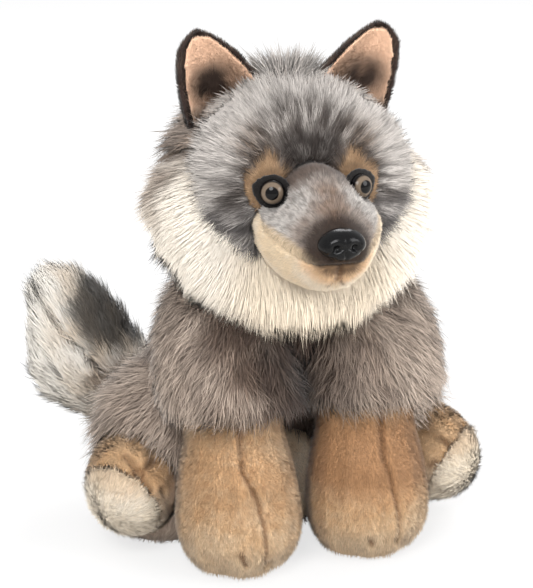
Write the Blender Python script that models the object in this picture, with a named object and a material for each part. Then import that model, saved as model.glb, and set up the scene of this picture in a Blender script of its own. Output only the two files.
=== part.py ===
"""Sitting plush wolf with long and short pile panels, moulded eyes and nose.

Metres, +Z up. The wolf looks along -Y and its left side is at +X.
The origin is on the floor, under the middle of the seat.
"""

import math
import random

import bmesh
import bpy
from mathutils import Vector
from mathutils.bvhtree import BVHTree

GAP = 0.0003
LOCK_SEED = 7
SOCKET_ROOM = 0.0008
FLAT_ANGLE = math.radians(1.0)
WELD = 1e-7

# Body
TORSO_HEIGHT = 0.158
TORSO_HALF_WIDTH = 0.066
TORSO_CHEST_DEPTH = 0.046
TORSO_BACK_DEPTH = 0.058
TORSO_SET_BACK = 0.014
BELLY_HALF_WIDTH = 0.024
BELLY_HEIGHT = 0.062
BELLY_PROUD = 0.008

# Forelegs
FORE_LEG_X = 0.0355
FORE_LEG_Y = -0.043
FORE_LEG_HALF_WIDTH = 0.0248
CUFF_HEIGHT = 0.080
CUFF_TUCK = 0.022
CUFF_ARCH = 14.0
SLEEVE_HALF_WIDTH = 0.033
SLEEVE_HALF_DEPTH = 0.029
SLEEVE_TOP_DROP = 0.006
FORE_FOOT_HALF_WIDTH = 0.032
FORE_FOOT_LENGTH = 0.066
FORE_FOOT_FORWARD = 0.0115
LEFT_FOOT_BACK = 0.006
FORE_FOOT_HEIGHT = 0.054
SEAM_DEPTH = 0.0016
SEAM_WIDTH = 6.0
TUCK_DEPTH = 0.0026

# Hind legs
THIGH_X = 0.061
THIGH_HALF_WIDTH = 0.034
THIGH_HALF_LENGTH = 0.040
THIGH_HEIGHT = 0.094
HIND_PAW_X = 0.082
HIND_PAW_SET_BACK = 0.026
HIND_PAW_LENGTH = 0.072
HIND_PAW_HALF_WIDTH = 0.0255
HIND_PAW_HEIGHT = 0.052
HIND_PAW_RISE = 0.010
HIND_SOLE_THICKNESS = 0.004

# Tail
TAIL_ROOT_X = 0.044
TAIL_ROOT_RISE = 0.040
TAIL_LENGTH = 0.108
TAIL_HALF_WIDTH = 0.031
TAIL_LEAN = 41.0
TAIL_SWING = 20.0

# Head
HEAD_RISE = 0.042
HEAD_Y = -0.015
HEAD_HALF_WIDTH = 0.060
HEAD_HALF_DEPTH = 0.046
HEAD_HALF_HEIGHT = 0.052
RUFF_HALF_WIDTH = 0.072
RUFF_DROP = 0.064
MASK_HALF_WIDTH = 0.054
MASK_HALF_HEIGHT = 0.048
MASK_FORWARD = 0.031
MASK_TILT = 114.0
MASK_DEPTH = 0.018
PILE_LIFT = 0.004

# Muzzle
MUZZLE_DROP = 0.014
MUZZLE_LENGTH = 0.048
MUZZLE_HALF_WIDTH = 0.0315
MUZZLE_UP = 0.026
MUZZLE_DOWN = 0.031
MUZZLE_TAPER = 0.4
BRIDGE_EDGE_SLOPE = 25.0
NOSE_WIDTH = 0.0245
NOSE_HEIGHT = 0.0175
NOSE_DEPTH = 0.011
NOSTRIL_RADIUS = 0.0018
NOSTRIL_DEPTH = 0.003
NOSTRIL_SLIT_RADIUS = 0.0008

# Eyes
EYE_X = 0.0205
EYE_RISE = 0.001
EYE_DIAMETER = 0.0125
EYE_DOME = 0.0052
EYE_RIM_WIDTH = 0.0024
EYE_RIM_THICKNESS = 0.0012
EYE_PATCH_HALF_WIDTH = 0.0118
EYE_PATCH_HALF_HEIGHT = 0.0145
EYE_PATCH_PROUD = 0.0012
EYE_PATCH_DEPTH = 0.003
SHANK_DIAMETER = 0.004
SHANK_LENGTH = 0.012
WASHER_DIAMETER = 0.014
WASHER_THICKNESS = 0.0018

# Ears
EAR_X = 0.033
EAR_Y = -0.024
EAR_BASE_RISE = 0.024
EAR_HEIGHT = 0.050
EAR_HALF_WIDTH = 0.0225
EAR_CUP = 0.011
EAR_BACK_THICKNESS = 0.0045
EAR_LINING_THICKNESS = 0.0022
EAR_LINING_INSET = 0.0035

# Planes where one sewn panel meets the next
NECK_DROP = 0.006
CHEEK_BACK = 0.006
CHEEK_TOP = 0.016
BIB_SLOPE = 20.0

HEAD_Z = TORSO_HEIGHT + HEAD_RISE
NECK_Z = TORSO_HEIGHT - NECK_DROP
CHEEK_Y = HEAD_Y + CHEEK_BACK
MUZZLE_Z = HEAD_Z - MUZZLE_DROP
MASK_Y = HEAD_Y - MASK_FORWARD
EYE_Z = HEAD_Z + EYE_RISE
SIDES = {"right": -1.0, "left": 1.0}


def clear_scene():
    """Empties the scene before the build."""
    for item in list(bpy.data.objects):
        bpy.data.objects.remove(item, do_unlink=True)


def linear(level):
    """One sRGB channel, 0 to 255, as linear light."""
    value = level / 255.0
    if value <= 0.04045:
        return value / 12.92
    return ((value + 0.055) / 1.055) ** 2.4


def finish(name, colour, roughness, metallic=0.0):
    """A plain material, made once for each name."""
    made = bpy.data.materials.get(name)
    if made is None:
        made = bpy.data.materials.new(name)
        made.use_nodes = True
        shader = made.node_tree.nodes["Principled BSDF"]
        shader.inputs["Base Color"].default_value = [linear(level) for level in colour] + [1.0]
        shader.inputs["Roughness"].default_value = roughness
        shader.inputs["Metallic"].default_value = metallic
        made.diffuse_color = [linear(level) for level in colour] + [1.0]
    return made


def taupe_pile():
    """Long taupe pile of the back, sleeves and thighs."""
    return finish("taupe_long_pile", (140, 122, 109), 0.95)


def dark_pile():
    """Dark brown long pile."""
    return finish("dark_long_pile", (82, 68, 60), 0.95)


def cream_pile():
    """Cream long pile."""
    return finish("cream_long_pile", (232, 220, 202), 0.95)


def silver_pile():
    """Silver pile with dark tips."""
    return finish("silver_pile", (165, 162, 158), 0.95)


def tan_plush():
    """Short tan plush of the paws and the muzzle sides."""
    return finish("tan_short_plush", (200, 165, 126), 0.9)


def cream_plush():
    """Short cream plush of the soles."""
    return finish("cream_short_plush", (224, 208, 186), 0.9)


def peach_plush():
    """Short peach plush inside the ears."""
    return finish("peach_short_plush", (205, 160, 128), 0.9)


def black_moulding():
    """Glossy black moulded plastic."""
    return finish("black_moulding", (24, 24, 26), 0.12)


def amber_moulding():
    """Glossy brown moulded eye."""
    return finish("amber_moulding", (120, 92, 66), 0.08)


def white_moulding():
    """Plain nylon of the lock washers."""
    return finish("white_moulding", (225, 225, 222), 0.45)


def black_felt():
    """Black felt around the eyes."""
    return finish("black_felt", (22, 20, 20), 0.9)


def between(rows, place):
    """Smooth value between evenly spaced rows, at 0 to 1 along them."""
    last = len(rows) - 1
    at = min(max(place, 0.0), 1.0) * last
    first = min(int(at), last - 1)
    share = at - first
    picked = [rows[min(max(first + step, 0), last)] for step in (-1, 0, 1, 2)]
    value = []
    for a, b, c, d in zip(*picked):
        value.append(
            b
            + 0.5
            * share
            * (c - a + share * (2 * a - 5 * b + 4 * c - d + share * (3 * (b - c) + d - a)))
        )
    return value


def even_angles(count):
    """Angles around a section, 0 at its fore side."""
    return [math.tau * index / count for index in range(count)]


def seamed_angles(count, seam):
    """Angles with a close pair beside the fore seam."""
    close = math.radians(seam)
    angles = [-close, 0.0, close]
    step = (math.tau - 4.0 * close) / (count - 1)
    angles += [2.0 * close + step * index for index in range(count)]
    return angles


def section(row, angles, yaw=0.0, mirror=1.0, taper=0.0):
    """Ring of points: x, y, z, half width, fore, aft and pitch in degrees.

    A taper draws the fore side of the ring together.
    """
    x, y, z, width, fore, aft, pitch = row
    tilt = math.radians(pitch)
    turn = math.radians(yaw)
    side = Vector((math.cos(turn), math.sin(turn), 0.0))
    level = Vector((math.sin(turn), -math.cos(turn), 0.0))
    ahead = level * math.cos(tilt) + Vector((0.0, 0.0, math.sin(tilt)))
    ring = []
    for angle in angles:
        reach = fore if math.cos(angle) > 0.0 else aft
        wide = width * math.sin(angle) * (1.0 - taper * max(0.0, math.cos(angle)))
        point = Vector((x, y, z)) + side * wide + ahead * reach * math.cos(angle)
        ring.append(Vector((point.x * mirror, point.y, point.z)))
    return ring


def skin(name, rings, material, crescent=False):
    """Closed body through the rings, with both ends filled to their middle.

    A crescent's ends are filled straight across from its front to its back.
    """
    mesh = bmesh.new()
    loops = [[mesh.verts.new(point) for point in ring] for ring in rings]
    count = len(rings[0])
    for upper, lower in zip(loops, loops[1:]):
        for index in range(count):
            after = (index + 1) % count
            mesh.faces.new((upper[index], upper[after], lower[after], lower[index]))
    for loop in (loops[0], loops[-1]):
        if crescent:
            for index in range(count // 2 - 1):
                far = count - 1 - index
                mesh.faces.new((loop[index], loop[index + 1], loop[far - 1], loop[far]))
            continue
        pole = mesh.verts.new(sum((vert.co for vert in loop), Vector()) / count)
        for index in range(count):
            mesh.faces.new((loop[index], loop[(index + 1) % count], pole))
    bmesh.ops.triangulate(mesh, faces=mesh.faces)
    bmesh.ops.recalc_face_normals(mesh, faces=mesh.faces)
    data = bpy.data.meshes.new(name)
    mesh.to_mesh(data)
    mesh.free()
    made = bpy.data.objects.new(name, data)
    bpy.context.scene.collection.objects.link(made)
    if material:
        data.materials.append(material)
    return made


def smooth_form(name, rows, count, rings, material, yaw=0.0, mirror=1.0, taper=0.0):
    """Plain closed form through a few section rows."""
    angles = even_angles(count)
    places = [index / (rings - 1) for index in range(rings)]
    loops = [section(between(rows, place), angles, yaw, mirror, taper) for place in places]
    return skin(name, loops, material)


def socket_for(rows, rings, room, yaw=0.0, mirror=1.0, taper=0.0, count=12, drop=0.0):
    """Coarse cutter that just holds a form, with room for its pile; drop lowers its end."""
    outside = 1.0 / math.cos(math.pi / count)
    wide = []
    for x, y, z, width, fore, aft, pitch in rows:
        sizes = [size * outside + room for size in (width, fore, aft)]
        wide.append((x, y, z, *sizes, pitch))
    x, y, z, *sizes = wide[-1]
    wide[-1] = (x, y, z - drop, *sizes)
    cutter = smooth_form("cutter", wide, count, rings, None, yaw, mirror, taper)
    cutter.hide_render = True
    cutter.display_type = "WIRE"
    return cutter


def carve(item, cutter):
    """Cuts a hidden cutter out of an item, and removes the cutter."""
    combine(item, cutter, "DIFFERENCE")
    bpy.data.objects.remove(cutter, do_unlink=True)
    keep_main(item)


def locked_form(name, rows, count, lock_rows, start, end, lift, material, yaw=0.0, mirror=1.0):
    """Closed form covered in overlapping rows of pointed locks of pile.

    The locks run from start to end along the form, and stand off it by lift.
    """
    chance = random.Random(LOCK_SEED)
    angles = even_angles(count)
    step = (end - start) / lock_rows
    rings = [section(between(rows, 0.0), angles, yaw, mirror)]
    if start > 0.12:
        rings.append(section(between(rows, start * 0.5), angles, yaw, mirror))
    for row in range(lock_rows):
        root = start + step * row
        rings.append(section(between(rows, root), angles, yaw, mirror))
        tips = []
        for index in range(count):
            pointed = (index + row) % 2 == 0
            length = (1.22 if pointed else 0.62) * chance.uniform(0.9, 1.1)
            stand = lift * (chance.uniform(0.85, 1.15) if pointed else 0.45)
            values = between(rows, root + step * length)
            point = section(values, [angles[index]], yaw, mirror)[0]
            middle = Vector((values[0] * mirror, values[1], values[2]))
            tips.append(point + (point - middle).normalized() * stand)
        rings.append(tips)
    if end < 0.97:
        rings.append(section(between(rows, end + 0.25 * step), angles, yaw, mirror))
        rings.append(section(between(rows, 0.5 * (1.0 + end)), angles, yaw, mirror))
    rings.append(section(between(rows, 1.0), angles, yaw, mirror))
    return skin(name, rings, material)


def cut_below(item, height=0.0):
    """Flattens a form where it rests."""
    mesh = bmesh.new()
    mesh.from_mesh(item.data)
    geometry = list(mesh.verts) + list(mesh.edges) + list(mesh.faces)
    bmesh.ops.bisect_plane(
        mesh, geom=geometry, dist=WELD, plane_co=(0.0, 0.0, height), plane_no=(0.0, 0.0, -1.0), clear_outer=True
    )
    close_up(mesh)
    mesh.to_mesh(item.data)
    mesh.free()


def halve(item, point, normal):
    """Cuts away what lies past a plane, and closes the cut."""
    mesh = bmesh.new()
    mesh.from_mesh(item.data)
    geometry = list(mesh.verts) + list(mesh.edges) + list(mesh.faces)
    bmesh.ops.bisect_plane(mesh, geom=geometry, dist=WELD, plane_co=point, plane_no=normal, clear_outer=True)
    close_up(mesh)
    mesh.to_mesh(item.data)
    mesh.free()


def close_up(mesh):
    """Fills the open edge that a cut leaves."""
    edges = [edge for edge in mesh.edges if edge.is_boundary]
    bmesh.ops.triangle_fill(mesh, use_beauty=True, use_dissolve=False, edges=edges)
    bmesh.ops.recalc_face_normals(mesh, faces=mesh.faces)


def duplicate(item, name, material):
    """Copy of a form under another name."""
    made = bpy.data.objects.new(name, item.data.copy())
    made.data.materials.clear()
    made.data.materials.append(material)
    bpy.context.scene.collection.objects.link(made)
    return made


def grown(item, by):
    """Copy of a form with its surface pushed out."""
    mesh = bmesh.new()
    mesh.from_mesh(item.data)
    mesh.normal_update()
    moves = [vert.normal * by * min(vert.calc_shell_factor(), 1.6) for vert in mesh.verts]
    for vert, move in zip(mesh.verts, moves):
        vert.co += move
    data = bpy.data.meshes.new("cutter")
    mesh.to_mesh(data)
    mesh.free()
    cutter = bpy.data.objects.new("cutter", data)
    cutter.hide_render = True
    cutter.display_type = "WIRE"
    bpy.context.scene.collection.objects.link(cutter)
    return cutter


def combine(item, other, operation):
    """Applies one Boolean to a form."""
    change = item.modifiers.new("Combine", "BOOLEAN")
    change.operation = operation
    change.solver = "EXACT"
    change.object = other
    graph = bpy.context.evaluated_depsgraph_get()
    data = bpy.data.meshes.new_from_object(item.evaluated_get(graph))
    item.modifiers.clear()
    item.data = data


def bore_for_lock(items, start, way):
    """Cuts the round room for a stem and its lock washer out of some items."""
    outside = 1.0 / math.cos(math.pi / 8.0)
    washer_at = start - way * (0.8 * SHANK_LENGTH)
    spans = (
        (start + way * 0.004, start - way * (SHANK_LENGTH + GAP), 0.5 * SHANK_DIAMETER),
        (washer_at - way * GAP, washer_at + way * (WASHER_THICKNESS + GAP), 0.5 * WASHER_DIAMETER),
    )
    for item in items:
        for first, last, radius in spans:
            cutter = peg("cutter", first, last, (radius + GAP) * outside, 8)
            combine(item, cutter, "DIFFERENCE")
            bpy.data.objects.remove(cutter, do_unlink=True)
        keep_main(item)


def seat_against(item, *neighbours):
    """Cuts each neighbour's form out of an item, with the clearance."""
    for neighbour in neighbours:
        cutter = grown(neighbour, GAP)
        combine(item, cutter, "DIFFERENCE")
        bpy.data.objects.remove(cutter, do_unlink=True)
    keep_main(item)


def reach_of(group):
    """Size of the box around a group of faces."""
    points = [vert.co for face in group for vert in face.verts]
    columns = [[point[axis] for point in points] for axis in range(3)]
    return sum(max(column) - min(column) for column in columns)


def keep_main(item):
    """Drops the loose scraps that a cut leaves beside the main body."""
    mesh = bmesh.new()
    mesh.from_mesh(item.data)
    bmesh.ops.remove_doubles(mesh, verts=mesh.verts, dist=2e-6)
    bmesh.ops.dissolve_degenerate(mesh, edges=mesh.edges, dist=1e-6)
    unseen = set(mesh.faces)
    groups = []
    while unseen:
        group = set()
        open_faces = [unseen.pop()]
        while open_faces:
            face = open_faces.pop()
            group.add(face)
            for edge in face.edges:
                for near in edge.link_faces:
                    if near in unseen:
                        unseen.discard(near)
                        open_faces.append(near)
        groups.append(group)
    groups.sort(key=reach_of, reverse=True)
    scraps = [face for group in groups[1:] for face in group]
    bmesh.ops.delete(mesh, geom=scraps, context="FACES")
    bmesh.ops.dissolve_limit(mesh, angle_limit=FLAT_ANGLE, verts=mesh.verts, edges=mesh.edges)
    bmesh.ops.triangulate(mesh, faces=mesh.faces)
    mesh.to_mesh(item.data)
    mesh.free()


def surface_of(item):
    """Search tree of a form's surface."""
    mesh = bmesh.new()
    mesh.from_mesh(item.data)
    tree = BVHTree.FromBMesh(mesh)
    mesh.free()
    return tree


def scaled(rows, width, fore, aft):
    """Section rows given as shares of a form's own half width, fore and aft."""
    return [
        (x, y, z, share_w * width, share_f * fore, share_a * aft, pitch)
        for x, y, z, share_w, share_f, share_a, pitch in rows
    ]


def face_plane():
    """Point and forward normal of the plane behind the face panel."""
    tilt = math.radians(MASK_TILT)
    return Vector((0.0, MASK_Y, HEAD_Z + 0.005)), Vector((0.0, -math.sin(tilt), -math.cos(tilt)))


def bib_plane():
    """Point and upward normal of the plane under the bib."""
    slope = math.radians(BIB_SLOPE)
    return Vector((0.0, CHEEK_Y, NECK_Z)), Vector((0.0, -math.sin(slope), math.cos(slope)))


def keep_side(item, plane, sign):
    """Keeps the side of a plane that its normal points to, or the other for -1."""
    point, normal = plane
    halve(item, point + normal * (0.5 * sign * GAP), -sign * normal)


def build_torso():
    """Pear-shaped trunk under long pile, flat where it sits."""
    back = TORSO_SET_BACK
    top = TORSO_HEIGHT
    rows = [
        (0.0, -back, top + 0.006, 0.20, 0.20, 0.20, 0.0),
        (0.0, -back, top - 0.006, 0.58, 0.66, 0.50, 0.0),
        (0.0, -0.6 * back, 0.80 * top, 0.86, 0.90, 0.72, 0.0),
        (0.0, 0.0, 0.62 * top, 0.98, 0.98, 0.90, 0.0),
        (0.0, 0.6 * back, 0.42 * top, 1.00, 0.66, 1.02, 0.0),
        (0.0, back, 0.22 * top, 0.98, 0.74, 1.00, 0.0),
        (0.0, back, 0.06 * top, 0.88, 0.70, 0.90, 0.0),
        (0.0, back, -0.10 * top, 0.50, 0.50, 0.50, 0.0),
    ]
    rows = scaled(rows, TORSO_HALF_WIDTH, TORSO_CHEST_DEPTH, TORSO_BACK_DEPTH)
    torso = locked_form("torso", rows, 18, 5, 0.20, 0.80, PILE_LIFT, taupe_pile())
    cut_below(torso)
    keep_side(torso, bib_plane(), -1.0)
    keep_side(torso, (Vector((0.0, 0.0, NECK_Z)), Vector((0.0, 0.0, 1.0))), -1.0)
    return torso


def belly_rows():
    """Sections of the belly panel from inside the trunk to its front."""
    front = TORSO_SET_BACK - 0.74 * TORSO_CHEST_DEPTH
    mid = 0.5 * BELLY_HEIGHT
    rows = [
        (0.0, front + 0.010, mid, 0.5, 0.5, 0.5, 90.0),
        (0.0, front + 0.004, mid, 1.0, 1.0, 1.0, 90.0),
        (0.0, front - 0.7 * BELLY_PROUD, mid, 0.85, 0.85, 0.9, 90.0),
        (0.0, front - BELLY_PROUD, mid, 0.2, 0.2, 0.2, 90.0),
    ]
    return scaled(rows, BELLY_HALF_WIDTH, mid, mid)


def build_belly():
    """Short tan panel at the foot of the chest, between the forelegs."""
    belly = smooth_form("belly_panel", belly_rows(), 12, 5, tan_plush())
    cut_below(belly)
    return belly


def sleeve_rows():
    """Sections of an upper foreleg from the shoulder to the cuff."""
    x = FORE_LEG_X
    y = FORE_LEG_Y
    top = TORSO_HEIGHT - SLEEVE_TOP_DROP
    cuff = CUFF_HEIGHT
    rise = top - cuff
    rows = [
        (x, y + 0.024, top, 0.25, 0.3, 0.3, 0.0),
        (x + 0.002, y + 0.018, top - 0.12 * rise, 0.66, 0.7, 0.7, 0.0),
        (x + 0.005, y + 0.008, top - 0.38 * rise, 0.93, 0.95, 0.95, 0.0),
        (x + 0.005, y - 0.001, top - 0.66 * rise, 1.0, 1.02, 1.0, 0.5 * CUFF_ARCH),
        (x + 0.003, y - 0.008, cuff + 0.006, 1.0, 1.0, 1.0, CUFF_ARCH),
        (x + 0.002, y - 0.007, cuff + 0.004, 0.84, 0.82, 0.82, CUFF_ARCH),
        (x + 0.001, y - 0.003, cuff + 0.008, 0.45, 0.45, 0.45, CUFF_ARCH),
    ]
    return scaled(rows, SLEEVE_HALF_WIDTH, SLEEVE_HALF_DEPTH, SLEEVE_HALF_DEPTH)


def build_sleeve(name, mirror):
    """Upper foreleg of long pile, ending in a cuff that arches over the leg."""
    sleeve = locked_form(name, sleeve_rows(), 16, 5, 0.14, 0.72, PILE_LIFT, taupe_pile(), mirror=mirror)
    keep_side(sleeve, bib_plane(), -1.0)
    return sleeve


def fore_paw_rows(mirror):
    """Sections of a foreleg and foot from inside the sleeve to the ground."""
    x = FORE_LEG_X
    y = FORE_LEG_Y
    leg = FORE_LEG_HALF_WIDTH
    foot = FORE_FOOT_HALF_WIDTH
    back = LEFT_FOOT_BACK * max(0.0, mirror)
    long = 0.5 * (FORE_FOOT_LENGTH - back)
    middle = y - FORE_FOOT_FORWARD + 0.5 * back
    top = CUFF_HEIGHT + CUFF_TUCK
    high = FORE_FOOT_HEIGHT
    return [
        (x, y, top, 0.85 * leg, 0.72 * leg, 0.72 * leg, 0.0),
        (x, y, 0.5 * (top + CUFF_HEIGHT), 0.97 * leg, 0.84 * leg, 0.80 * leg, 0.0),
        (x, y, 0.95 * CUFF_HEIGHT, leg, 0.95 * leg, 0.85 * leg, 0.0),
        (x, 0.7 * y + 0.3 * middle, 1.22 * high, 1.03 * leg, 0.82 * long, 0.66 * long, 0.0),
        (x, 0.5 * (y + middle), high, 0.5 * (leg + foot), 0.96 * long, 0.80 * long, 0.0),
        (x, 0.3 * y + 0.7 * middle, 0.76 * high, 0.96 * foot, 0.93 * long, 0.87 * long, 0.0),
        (x, middle, 0.5 * high, foot, long, long, 0.0),
        (x, middle, 0.28 * high, 0.95 * foot, 0.96 * long, 0.95 * long, 0.0),
        (x, middle, 0.08 * high, 0.78 * foot, 0.76 * long, 0.78 * long, 0.0),
        (x, middle, -0.08 * high, 0.40 * foot, 0.4 * long, 0.4 * long, 0.0),
    ]


def build_fore_paw(name, mirror):
    """Foreleg and foot of short plush, with its long seam and toe tucks."""
    angles = seamed_angles(15, SEAM_WIDTH)
    tucks = (angles[4], angles[-2])
    rings = []
    for step in range(12):
        place = step / 11.0
        values = between(fore_paw_rows(mirror), place)
        ring = section(values, angles, mirror=mirror)
        middle_point = Vector((values[0] * mirror, values[1], values[2]))
        for index, angle in enumerate(angles):
            inward = (middle_point - ring[index]).normalized()
            if angle == 0.0:
                ring[index] += inward * SEAM_DEPTH
            elif angle in tucks and place > 0.75:
                ring[index] += inward * TUCK_DEPTH
        rings.append(ring)
    paw = skin(name, rings, tan_plush())
    cut_below(paw)
    return paw


def thigh_rows():
    """Sections of a haunch from its top to the ground."""
    x = THIGH_X
    y = TORSO_SET_BACK - 0.006
    high = THIGH_HEIGHT
    rows = [
        (x - 0.006, y + 0.006, high, 0.3, 0.3, 0.3, 0.0),
        (x - 0.003, y + 0.004, 0.88 * high, 0.68, 0.66, 0.68, 0.0),
        (x, y, 0.66 * high, 0.95, 0.92, 0.95, 0.0),
        (x + 0.002, y - 0.002, 0.40 * high, 1.0, 1.0, 1.0, 0.0),
        (x + 0.002, y - 0.002, 0.15 * high, 0.92, 0.92, 0.92, 0.0),
        (x + 0.002, y - 0.002, -0.08 * high, 0.6, 0.6, 0.6, 0.0),
    ]
    return scaled(rows, THIGH_HALF_WIDTH, THIGH_HALF_LENGTH, THIGH_HALF_LENGTH)


def build_thigh(name, mirror):
    """Rounded haunch of long pile, flat where it rests."""
    thigh = locked_form(name, thigh_rows(), 14, 4, 0.14, 0.82, PILE_LIFT, taupe_pile(), mirror=mirror)
    cut_below(thigh)
    return thigh


def hind_paw_rows():
    """Sections of a hind paw from its ankle to its toes."""
    x = HIND_PAW_X
    half = 0.5 * HIND_PAW_HEIGHT
    mid = half + HIND_PAW_RISE
    heel = HIND_PAW_SET_BACK
    long = HIND_PAW_LENGTH
    rows = [
        (x - 0.012, heel, mid, 0.3, 0.3, 0.3, 90.0),
        (x - 0.010, heel - 0.08 * long, mid, 0.72, 0.74, 0.74, 90.0),
        (x - 0.005, heel - 0.32 * long, mid, 0.94, 0.95, 0.96, 90.0),
        (x, heel - 0.58 * long, mid, 1.0, 1.0, 1.02, 90.0),
        (x + 0.003, heel - 0.82 * long, mid, 0.84, 0.84, 0.88, 90.0),
        (x + 0.004, heel - 0.96 * long, mid, 0.48, 0.48, 0.52, 90.0),
        (x + 0.004, heel - long, mid, 0.12, 0.12, 0.12, 90.0),
    ]
    return scaled(rows, HIND_PAW_HALF_WIDTH, half, half)


def sole_plane(mirror):
    """Point and outward normal of the plane between a hind paw and its sole."""
    facing = Vector((0.62 * mirror, -0.52, -0.42)).normalized()
    ahead = HIND_PAW_SET_BACK - 0.6 * HIND_PAW_LENGTH
    middle = Vector((HIND_PAW_X * mirror, ahead, HIND_PAW_RISE + 0.5 * HIND_PAW_HEIGHT))
    return middle + facing * (HIND_PAW_HALF_WIDTH - 3.2 * HIND_SOLE_THICKNESS), facing


def build_hind_paw(name, mirror):
    """Hind foot of short plush, with its top seam and toe tucks."""
    angles = seamed_angles(15, SEAM_WIDTH)
    tucks = (angles[4], angles[-2])
    rings = []
    for index in range(10):
        place = index / 9.0
        values = between(hind_paw_rows(), place)
        ring = section(values, angles, mirror=mirror)
        middle = Vector((values[0] * mirror, values[1], values[2]))
        for number, angle in enumerate(angles):
            inward = (middle - ring[number]).normalized()
            if angle == 0.0:
                ring[number] += inward * SEAM_DEPTH
            elif angle in tucks and 0.66 < place < 0.97:
                ring[number] += inward * TUCK_DEPTH
        rings.append(ring)
    paw = skin(name, rings, tan_plush())
    cut_below(paw)
    keep_side(paw, sole_plane(mirror), -1.0)
    return paw


def build_hind_sole(name, mirror):
    """Cream sole panel on the outer, lower face of a hind paw."""
    sole = smooth_form(name, hind_paw_rows(), 16, 8, cream_plush(), mirror=mirror)
    cut_below(sole)
    keep_side(sole, sole_plane(mirror), 1.0)
    return sole


def tail_course():
    """Root point, direction and sideways direction of the tail."""
    root = Vector((-TAIL_ROOT_X, TORSO_SET_BACK + TORSO_BACK_DEPTH - 0.016, TAIL_ROOT_RISE))
    lean = math.radians(TAIL_LEAN)
    swing = math.radians(TAIL_SWING)
    out = Vector((-math.cos(swing), math.sin(swing), 0.0))
    way = out * math.sin(lean) + Vector((0.0, 0.0, math.cos(lean)))
    across = out * math.cos(lean) - Vector((0.0, 0.0, math.sin(lean)))
    return root, way, across


def tail_rows():
    """Sections of the tail from its root to its tip."""
    root, way, across = tail_course()
    widths = (0.38, 0.58, 0.80, 1.00, 1.08, 0.90, 0.40)
    bows = (0.0, 0.04, 0.09, 0.14, 0.14, 0.10, 0.02)
    pitch = 180.0 + TAIL_LEAN
    rows = []
    for index, (width, bow) in enumerate(zip(widths, bows)):
        place = root + way * (TAIL_LENGTH * index / (len(widths) - 1)) + across * (bow * TAIL_LENGTH)
        rows.append((place.x, place.y, place.z, 0.82 * width, width, width, pitch))
    return scaled(rows, TAIL_HALF_WIDTH, TAIL_HALF_WIDTH, TAIL_HALF_WIDTH)


def build_tail():
    """Bushy tail at the wolf's right side, in a dark top and a cream underside."""
    root, _, across = tail_course()
    turn = 90.0 - TAIL_SWING
    whole = locked_form("tail_top", tail_rows(), 14, 6, 0.05, 0.90, 1.2 * PILE_LIFT, dark_pile(), yaw=turn)
    under = duplicate(whole, "tail_underside", cream_pile())
    middle = root + across * 0.04 * TAIL_LENGTH
    halve(whole, middle - across * 0.5 * GAP, across)
    halve(under, middle + across * 0.5 * GAP, -across)
    return whole, under


def cheek_block():
    """Cutter for the room that the ruff takes in front of the head's back."""
    wide = 2.0 * RUFF_HALF_WIDTH
    rear = CHEEK_Y + 0.5 * GAP
    roof = HEAD_Z + CHEEK_TOP + 0.5 * GAP
    corners = ((-wide, rear - 2.0 * wide), (wide, rear - 2.0 * wide), (wide, rear), (-wide, rear))
    rings = [[Vector((x, y, z)) for x, y in corners] for z in (NECK_Z - wide, roof)]
    return skin("cutter", rings, None)


def build_head_back():
    """Crown, nape and sides of the head, in long pile."""
    high = HEAD_HALF_HEIGHT
    rows = [
        (0.0, HEAD_Y - 0.007, HEAD_Z + high, 0.16, 0.16, 0.16, 0.0),
        (0.0, HEAD_Y - 0.006, HEAD_Z + 0.92 * high, 0.42, 0.45, 0.45, 0.0),
        (0.0, HEAD_Y - 0.004, HEAD_Z + 0.68 * high, 0.72, 0.76, 0.80, 0.0),
        (0.0, HEAD_Y, HEAD_Z + 0.30 * high, 0.92, 0.95, 1.0, 0.0),
        (0.0, HEAD_Y, HEAD_Z - 0.12 * high, 1.02, 1.0, 1.04, 0.0),
        (0.0, HEAD_Y + 0.002, HEAD_Z - 0.52 * high, 1.02, 0.92, 0.98, 0.0),
        (0.0, HEAD_Y + 0.004, HEAD_Z - 0.84 * high, 0.84, 0.74, 0.84, 0.0),
        (0.0, HEAD_Y + 0.004, HEAD_Z - high, 0.40, 0.40, 0.40, 0.0),
    ]
    rows = scaled(rows, HEAD_HALF_WIDTH, HEAD_HALF_DEPTH, HEAD_HALF_DEPTH)
    back = locked_form("head_back", rows, 20, 4, 0.10, 0.86, 1.2 * PILE_LIFT, taupe_pile())
    keep_side(back, face_plane(), -1.0)
    keep_side(back, (Vector((0.0, 0.0, NECK_Z)), Vector((0.0, 0.0, 1.0))), 1.0)
    carve(back, cheek_block())
    return back


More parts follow.
